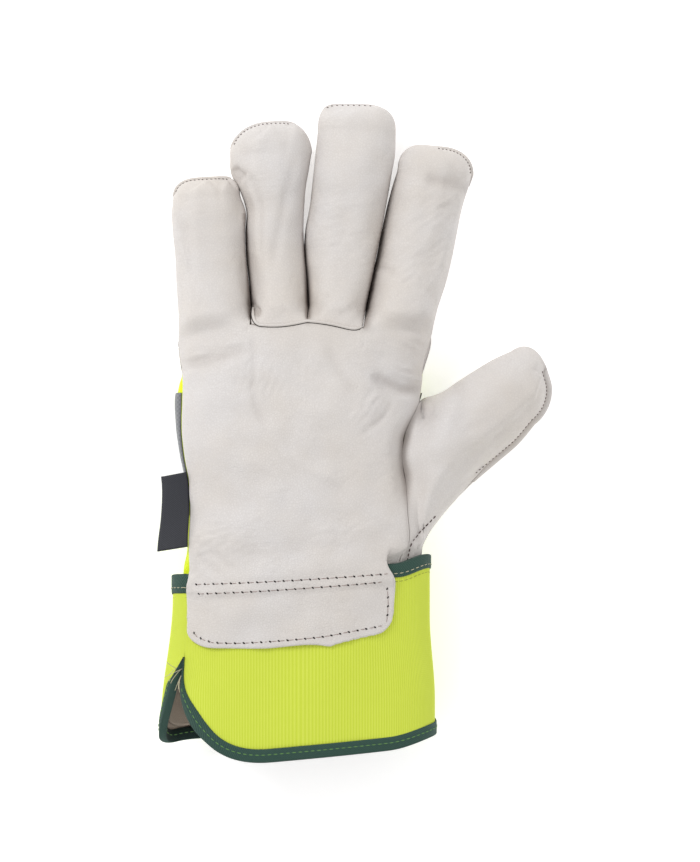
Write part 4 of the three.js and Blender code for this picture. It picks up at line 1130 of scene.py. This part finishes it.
# The black label: one strip folded on itself, with a soft fold and slightly open ends
def buildLabel():
    ys = np.linspace(label["top"], label["bottom"], 34)
    t = label["thick"]
    width = np.linspace(0, 1, 14)
    rings = []
    for y in ys:
        row = bodyAt(np.array(y))
        down = (label["top"] - y) / (label["top"] - label["bottom"])
        root, base, out = float(row["left"]) - 0.35, float(row["zl"]) + 0.3, mix(*label["out"], down)
        curl = 0.9 * math.sin(math.pi * down) - 0.6
        opened = label["fold"] * (0.35 + 0.65 * abs(2 * down - 1) ** 3)
        low = [(root - out * w, y - label["sink"] * w, base + curl * w * w) for w in width]
        high = [(x, slanted, z + t + 0.12 + opened * math.sin(math.pi * (0.15 + 0.6 * w)))
                for (x, slanted, z), w in zip(low, width)]
        middle = (low[-1][2] + high[-1][2] + t) / 2
        turned = [(root - out - 0.45, low[-1][1], middle), (root - out + 0.35, low[-1][1], middle)]
        raised = [[(x, slanted, z + t) for x, slanted, z in side[::-1]] for side in (high, low)]
        rings.append(np.array([*low, turned[0], *raised[0], *high[:-1], turned[1], *raised[1][1:]]))
    along = np.r_[0, np.cumsum(np.hypot(*np.diff(rings[0][:, [0, 2]], axis=0).T))]
    uv = np.stack(np.broadcast_arrays(along[None], ys[:, None]), -1).reshape(-1, 2)
    tag = keep(sweptMesh("sideLabel", rings, False, [paints["labelWeave"]], uv), "label_weave", "side_label")


looseEnds = {"count": 9, "steps": 12, "step": 0.75, "radius": 0.13, "sides": 5}


# Loose thread ends where the cuff's side seam ends
def buildLooseEnds():
    rng = np.random.default_rng(look["seed"])
    steps, sides = looseEnds["steps"], looseEnds["sides"]
    turns = np.linspace(0, 2 * math.pi, sides + 1)[:-1]
    points, faces = [], []
    for _ in range(looseEnds["count"]):
        at = np.array([-47.3 + rng.uniform(-0.6, 0.6), -86.5 + rng.uniform(-3, 2), 35.5 + rng.uniform(-1, 1)])
        way = np.array([-0.9 + rng.uniform(-0.5, 0.9), -0.6 + rng.uniform(-0.9, 0.8), 0.25 + rng.uniform(-0.3, 0.5)])
        bend = rng.normal(size=3) * 0.35
        start = len(points)
        for i in range(steps):
            way = way + bend * 0.16
            way /= np.linalg.norm(way)
            at = at + way * looseEnds["step"]
            side = np.cross(way, (0, 0, 1))
            side /= max(np.linalg.norm(side), 1e-6)
            lift = np.cross(side, way)
            points += [at + looseEnds["radius"] * (math.cos(a) * side + math.sin(a) * lift) for a in turns]
        last = start + (steps - 1) * sides
        for ring in range(start, last, sides):
            for k in range(sides):
                p, q = ring + k, ring + (k + 1) % sides
                faces.append([p, q, q + sides, p + sides])
        faces += [[start + k for k in range(sides)][::-1], [last + k for k in range(sides)]]
    keep(makeMesh("looseEnds", points, faces, None, [paints["creamThread"]]), "cuff_canvas")


def topEdge(x, z, turn):
    return cuffTop(x, z)


print("stage: cuff")
hemPath = buildBinding("hemBinding", "hem_binding", cuffBottom, 1, binding["width"], binding["thick"])
topPath = buildBinding("topBinding", "top_binding", topEdge, -1, binding["topWidth"], binding["topThick"])
buildCuff()
print("stage: seams and stitches")
buildTips()
buildWelt()
buildStitching(hemPath, topPath)
buildLabel()
buildLooseEnds()


# Nodes of one tree, added with a line each
class Graph:
    def __init__(self, tree):
        self.tree = tree

    def feed(self, socket, value):
        if isinstance(value, bpy.types.NodeSocket):
            self.tree.links.new(value, socket)
        else:
            socket.default_value = value

    def node(self, kind, values=None, **settings):
        made = self.tree.nodes.new("ShaderNode" + kind)
        for key, value in settings.items():
            setattr(made, key, value)
        for key, value in (values or {}).items():
            self.feed(made.inputs[key], value)
        return made

    def math(self, operation, a, b=0.0, clamp=False):
        return self.node("Math", {0: a, 1: b}, operation=operation, use_clamp=clamp).outputs[0]

    def ramp(self, value, low, high, start=0.0, end=1.0):
        made = self.node("MapRange", {
            "Value": value, "From Min": low, "From Max": high, "To Min": start, "To Max": end})
        return made.outputs["Result"]

    def colours(self, factor, a, b):
        made = self.node("Mix", data_type="RGBA", blend_type="MIX")
        self.feed(made.inputs[0], factor)
        for socket, value in ((made.inputs[6], a), (made.inputs[7], b)):
            self.feed(socket, value if isinstance(value, bpy.types.NodeSocket) else tuple(value) + (1,))
        return made.outputs[2]


# A node group with named inputs and outputs; its maker takes the graph and the inputs and gives the outputs
def nodeGroup(name, inputs, outputs, maker):
    group = bpy.data.node_groups.new(name, "ShaderNodeTree")
    for label, value in inputs.items():
        group.interface.new_socket(label, in_out="INPUT", socket_type="NodeSocketFloat").default_value = value
    for label in outputs:
        group.interface.new_socket(label, in_out="OUTPUT", socket_type="NodeSocketFloat")
    entry, end = group.nodes.new("NodeGroupInput"), group.nodes.new("NodeGroupOutput")
    graph = Graph(group)
    for socket, value in zip(end.inputs, maker(graph, *entry.outputs[: len(inputs)])):
        graph.feed(socket, value)
    return group


# Grain of the leather: fine pores between raised cells, stretched wrinkles and slow mottling
def grainNodes(graph, poreSize, wrinkleSize, mottleSize):
    place = graph.node("TexCoord").outputs["Object"]
    fine = graph.math("DIVIDE", 1000.0, poreSize)
    bend = graph.node("TexNoise", {"Vector": place, "Scale": graph.math("MULTIPLY", fine, 0.45), "Detail": 2.0})
    moved = graph.node("VectorMath", {0: bend.outputs["Color"], 1: (0.0009,) * 3}, operation="MULTIPLY").outputs[0]
    shifted = graph.node("VectorMath", {0: place, 1: moved}, operation="ADD").outputs[0]
    cells = graph.node("TexVoronoi", {"Vector": shifted, "Scale": fine}, feature="DISTANCE_TO_EDGE").outputs["Distance"]
    pores = graph.ramp(cells, 0.0, 0.22)
    folds = graph.node("Mapping", {"Vector": place, "Rotation": (0, 0, 0.6), "Scale": (0.55, 1.35, 1.0)}).outputs[0]
    wrinkles = graph.node("TexNoise", {
        "Vector": folds, "Scale": graph.math("DIVIDE", 1000.0, wrinkleSize), "Detail": 3.0, "Distortion": 0.6})
    ridged = graph.math("ABSOLUTE", graph.math("SUBTRACT", wrinkles.outputs["Fac"], 0.5))
    patches = graph.node("TexNoise", {
        "Vector": place, "Scale": graph.math("DIVIDE", 1000.0, mottleSize), "Detail": 2.0})
    folded = graph.math("MULTIPLY", graph.ramp(ridged, 0.0, 0.05), graph.ramp(patches.outputs["Fac"], 0.42, 0.62))
    tone = graph.node("TexNoise", {
        "Vector": place, "Scale": graph.math("DIVIDE", 700.0, mottleSize), "Detail": 4.0, "Roughness": 0.6})
    height = graph.math("ADD", graph.math("MULTIPLY", pores, 0.35), graph.math("MULTIPLY", folded, 0.3))
    return height, pores, tone.outputs["Fac"]


# Threads crossing each other, read from the cloth's own flat millimetres; slant 0 is plain, 1 is twill
def weaveNodes(graph, threadPitch, slant):
    flat = graph.node("UVMap", uv_map="cloth").outputs["UV"]
    apart = graph.node("SeparateXYZ", {0: flat})
    u, v = (graph.math("DIVIDE", graph.math("MULTIPLY", apart.outputs[k], 100.0), threadPitch) for k in (0, 1))
    turnU = graph.math("SINE", graph.math("MULTIPLY", u, math.tau / 2))
    turnV = graph.math("SINE", graph.math("MULTIPLY", v, math.tau / 2))
    plain = graph.math("MULTIPLY", graph.math("ADD", graph.math("MULTIPLY", turnU, turnV), 1.0), 0.5)
    diagonal = graph.math("SINE", graph.math("MULTIPLY", graph.math("ADD", u, v), math.tau / 2))
    across = graph.math("SINE", graph.math("MULTIPLY", u, math.tau))
    across = graph.math("ADD", graph.math("MULTIPLY", across, 0.2), 0.5)
    twill = graph.math("ADD", graph.math("MULTIPLY", diagonal, 0.35), across)
    height = graph.node("Mix", {0: slant, 2: plain, 3: twill}).outputs[0]
    noise = graph.node("TexNoise", {"Vector": flat, "Scale": 160.0, "Detail": 3.0})
    return height, noise.outputs["Fac"]


# Fluff and fibre ends: a soft, fine unevenness
def fluffNodes(graph, fibreSize):
    place = graph.node("TexCoord").outputs["Object"]
    fibres = graph.node("TexNoise", {
        "Vector": place, "Scale": graph.math("DIVIDE", 1000.0, fibreSize), "Detail": 5.0, "Roughness": 0.7})
    clumps = graph.node("TexNoise", {"Vector": place, "Scale": graph.math("DIVIDE", 130.0, fibreSize), "Detail": 3.0})
    return fibres.outputs["Fac"], clumps.outputs["Fac"]


# Painted shade, partly soil, where the shape is hollow, from the mesh's own crease values
def shadeAndSoilNodes(graph, amount):
    depth = graph.node("Attribute", attribute_name="crease").outputs["Fac"]
    place = graph.node("TexCoord").outputs["Object"]
    patches = graph.node("TexNoise", {"Vector": place, "Scale": 90.0, "Detail": 4.0}).outputs["Fac"]
    patchy = graph.ramp(patches, 0.25, 0.75, 0.6, 1.1)
    return (graph.math("MULTIPLY", graph.math("MULTIPLY", depth, patchy), amount, clamp=True),)


print("stage: materials")
leatherGrain = nodeGroup("leatherGrain", {"Pore Size": 1.1, "Wrinkle Size": 4.0, "Mottle Size": 30.0},
                         ("Height", "Pores", "Mottle"), grainNodes)
threadWeave = nodeGroup("threadWeave", {"Thread Pitch": 0.5, "Slant": 0.0}, ("Height", "Uneven"), weaveNodes)
fluff = nodeGroup("fluff", {"Fibre Size": 0.4}, ("Fibres", "Clumps"), fluffNodes)
shadeAndSoil = nodeGroup("shadeAndSoil", {"Amount": 1.0}, ("Mask",), shadeAndSoilNodes)


def linear(*srgb):
    return tuple((v / 255 / 12.92) if v < 10.3 else ((v / 255 + 0.055) / 1.055) ** 2.4 for v in srgb)


def useGroup(graph, group, **values):
    made = graph.node("Group", node_tree=group)
    for key, value in values.items():
        graph.feed(made.inputs[key.replace("_", " ")], value)
    return made.outputs


# Opens a named material: its graph and its shader with the plain values set on the shader itself
def openPaint(name, roughness, specular=0.4, metallic=0.0, sheen=0.0):
    paint = paints[name]
    paint.use_nodes = True
    shader = paint.node_tree.nodes["Principled BSDF"]
    shader.inputs["Roughness"].default_value = roughness
    shader.inputs["Specular IOR Level"].default_value = specular
    shader.inputs["Metallic"].default_value = metallic
    shader.inputs["Sheen Weight"].default_value = sheen
    shader.inputs["Sheen Roughness"].default_value = 0.5
    return Graph(paint.node_tree), shader


def finishPaint(graph, shader, colour, height=None, depth=0.1, roughness=None):
    plain = not isinstance(colour, bpy.types.NodeSocket)
    graph.feed(shader.inputs["Base Color"], tuple(colour) + (1,) if plain else colour)
    if height is not None:
        bump = graph.node("Bump", {"Height": height, "Strength": 1.0, "Distance": depth * mm})
        graph.feed(shader.inputs["Normal"], bump.outputs["Normal"])
    if roughness is not None:
        graph.feed(shader.inputs["Roughness"], roughness)


leatherLook = {
    "light": (219, 215, 213), "warm": (216, 209, 202), "poreShade": (192, 185, 181), "shadeAndSoil": (104, 88, 78),
    "poreSize": 1.0, "wrinkleSize": 3.6, "mottleSize": 30.0, "bump": 0.16, "roughness": 0.56,
}


def paintLeather():
    graph, shader = openPaint("leather", leatherLook["roughness"], specular=0.32)
    grain = useGroup(graph, leatherGrain, Pore_Size=leatherLook["poreSize"], Wrinkle_Size=leatherLook["wrinkleSize"],
                     Mottle_Size=leatherLook["mottleSize"])
    light, warm = linear(*leatherLook["light"]), linear(*leatherLook["warm"])
    base = graph.colours(graph.ramp(grain["Mottle"], 0.35, 0.7), light, warm)
    base = graph.colours(graph.ramp(grain["Pores"], 0.0, 0.9, 0.22, 0.0), base, linear(*leatherLook["poreShade"]))
    # the crease values darken the leather as painted shade, partly soil
    base = graph.colours(useGroup(graph, shadeAndSoil, Amount=0.75)["Mask"], base, linear(*leatherLook["shadeAndSoil"]))
    rough = graph.ramp(grain["Pores"], 0.0, 1.0, leatherLook["roughness"] + 0.12, leatherLook["roughness"] - 0.03)
    finishPaint(graph, shader, base, grain["Height"], leatherLook["bump"], rough)


clothLook = {
    "cuff": (215, 228, 86), "cuffValley": (203, 219, 66), "back": (240, 255, 30), "backShade": (222, 242, 12),
    "binding": (36, 64, 56), "bindingLight": (66, 94, 84), "bindingShadow": (10, 16, 14),
    "canvas": (190, 176, 160), "canvasDark": (152, 139, 124), "fleece": (214, 206, 192), "fleeceDark": (178, 168, 152),
    "tape": (125, 127, 131), "tapeDark": (98, 100, 104), "label": (27, 28, 33), "labelLight": (56, 58, 66),
}


def paintCuff():
    graph, shader = openPaint("cuffCloth", 0.8, specular=0.25, sheen=0.12)
    flat = graph.node("SeparateXYZ", {0: graph.node("UVMap", uv_map="cloth").outputs["UV"]})
    turn = graph.math("MULTIPLY", flat.outputs[0], 100 * math.tau * ribs["count"] / cuffGirth)
    ridge = graph.math("ADD", graph.math("MULTIPLY", graph.math("COSINE", turn), 0.5), 0.5)
    loops = useGroup(graph, threadWeave, Thread_Pitch=0.42, Slant=0.3)
    soft = useGroup(graph, fluff, Fibre_Size=0.7)
    # the rib valleys and low loops are painted darker and the rib tops lighter, as painted shade
    shade = graph.math("MULTIPLY", ridge, graph.ramp(loops["Height"], 0.0, 1.0, 0.75, 1.0))
    base = graph.colours(graph.ramp(shade, 0.05, 0.8), linear(*clothLook["cuffValley"]), linear(*clothLook["cuff"]))
    base = graph.colours(graph.ramp(soft["Clumps"], 0.35, 0.75, 0.0, 0.22), base, linear(*clothLook["cuffValley"]))
    height = graph.math("ADD", graph.math("MULTIPLY", ridge, 0.3), graph.math("MULTIPLY", loops["Height"], 0.4))
    finishPaint(graph, shader, base, height, 0.12)


# A woven cloth in two tones, the darker one painted as shade in the low parts of the weave and also laid in uneven
# patches: thread pitch and slant of the weave, and how deep it stands
def paintWeave(name, light, dark, pitch, slant, depth, roughness=0.85, specular=0.25, sheen=0.1, metallic=0.0):
    graph, shader = openPaint(name, roughness, specular, metallic, sheen)
    weave = useGroup(graph, threadWeave, Thread_Pitch=pitch, Slant=slant)
    soft = useGroup(graph, fluff, Fibre_Size=0.5)
    base = graph.colours(graph.ramp(weave["Height"], 0.1, 0.8), linear(*dark), linear(*light))
    base = graph.colours(graph.ramp(weave["Uneven"], 0.35, 0.75, 0.0, 0.35), base, linear(*dark))
    height = graph.math("ADD", weave["Height"], graph.math("MULTIPLY", soft["Fibres"], 0.5))
    finishPaint(graph, shader, base, height, depth)


def paintFleece():
    graph, shader = openPaint("leatherInside", 0.95, specular=0.15, sheen=0.3)
    soft = useGroup(graph, fluff, Fibre_Size=0.9)
    dark, light = linear(*clothLook["fleeceDark"]), linear(*clothLook["fleece"])
    base = graph.colours(graph.ramp(soft["Fibres"], 0.3, 0.7), dark, light)
    finishPaint(graph, shader, base, soft["Fibres"], 0.5)


threadLook = {
    "darkThread": (84, 62, 58), "rustThread": (150, 120, 115), "paleThread": (168, 172, 74),
    # the hole colour is painted shade for the needle holes and the seam line below the root welt
    "greenThread": (120, 170, 96), "creamThread": (214, 206, 176), "holeShade": (44, 36, 34),
}


def paintThread(name, colour):
    graph, shader = openPaint(name, 0.7, specular=0.3)
    soft = useGroup(graph, fluff, Fibre_Size=0.25)
    dark = tuple(v * 0.6 for v in linear(*colour))
    base = graph.colours(graph.ramp(soft["Fibres"], 0.35, 0.65), dark, linear(*colour))
    finishPaint(graph, shader, base, soft["Fibres"], 0.05)


paintLeather()
paintCuff()
paintFleece()
paintWeave("hivisCloth", clothLook["back"], clothLook["backShade"], 0.55, 0.15, 0.12, sheen=0.15)
glow = paints["hivisCloth"].node_tree.nodes["Principled BSDF"]  # painted light: a faint glow on the fluorescent yellow cloth, so that it looks brighter than lit cloth
glow.inputs["Emission Color"].default_value = (0.75, 1.0, 0.02, 1)
glow.inputs["Emission Strength"].default_value = 0.05
paintWeave("canvas", clothLook["canvas"], clothLook["canvasDark"], 0.62, 0.1, 0.16)
paintWeave("bindingTape", clothLook["bindingLight"], clothLook["binding"], 0.5, 0.9, 0.14)
# a darker, painted-shade copy of the binding tape for its inner face
paintWeave("bindingShadedInside", clothLook["binding"], clothLook["bindingShadow"], 0.5, 0.9, 0.14)
paintWeave("reflectiveTape", clothLook["tape"], clothLook["tapeDark"], 0.9, 0.0, 0.05, 0.38, 0.5, 0.0, 0.35)
paintWeave("labelWeave", clothLook["labelLight"], clothLook["label"], 0.4, 0.6, 0.07, 0.55, 0.4, 0.0)
for name, colour in threadLook.items():
    paintThread(name, colour)


print("stage: floor, light and camera")
stageLook = {
    "floorTone": 0.97, "floorGlow": 0.4, "keyPlace": (-0.75, 0.85, 1.1), "keyPower": 9.0,
    "fillPlace": (0.9, -0.3, 1.3), "fillPower": 2.0, "worldPower": 0.72, "cameraHeight": 1.522, "lens": 152.8,
}


def buildFloor():
    mesh = bpy.data.meshes.new("floor")
    size = 3.0
    mesh.from_pydata([(-size, -size, 0), (size, -size, 0), (size, size, 0), (-size, size, 0)], [], [(0, 1, 2, 3)])
    floor = bpy.data.objects.new("floor", mesh)
    bpy.context.collection.objects.link(floor)
    paint = bpy.data.materials.new("floorPaint")
    paint.use_nodes = True
    shader = paint.node_tree.nodes["Principled BSDF"]
    shader.inputs["Base Color"].default_value = (stageLook["floorTone"],) * 3 + (1,)
    shader.inputs["Roughness"].default_value = 0.9
    shader.inputs["Emission Color"].default_value = (1, 1, 1, 1)
    shader.inputs["Emission Strength"].default_value = stageLook["floorGlow"]
    mesh.materials.append(paint)


def softLamp(name, at, target, width, power):
    lamp = bpy.data.lights.new(name, "AREA")
    lamp.shape = "DISK"
    lamp.size = width
    lamp.energy = power
    holder = bpy.data.objects.new(name, lamp)
    holder.location = at
    holder.rotation_euler = (Vector(target) - Vector(at)).to_track_quat("-Z", "Y").to_euler()
    bpy.context.collection.objects.link(holder)


def buildCamera():
    lens = bpy.data.cameras.new("camera")
    camera = bpy.data.objects.new("camera", lens)
    camera.location = (0.0205, 0.00943, stageLook["cameraHeight"])
    lens.lens = stageLook["lens"]
    lens.sensor_width = 36
    bpy.context.collection.objects.link(camera)
    bpy.context.scene.camera = camera


buildFloor()
softLamp("keyLamp", stageLook["keyPlace"], (0, 0.02, 0), 0.7, stageLook["keyPower"])
softLamp("fillLamp", stageLook["fillPlace"], (0, 0, 0), 1.2, stageLook["fillPower"])
world = bpy.data.worlds.new("studio")
world.use_nodes = True
world.node_tree.nodes["Background"].inputs["Color"].default_value = (1, 1, 1, 1)
world.node_tree.nodes["Background"].inputs["Strength"].default_value = stageLook["worldPower"]
bpy.context.scene.world = world
bpy.context.scene.view_settings.view_transform = "Standard"  # plain colours, as a product picture has them
buildCamera()
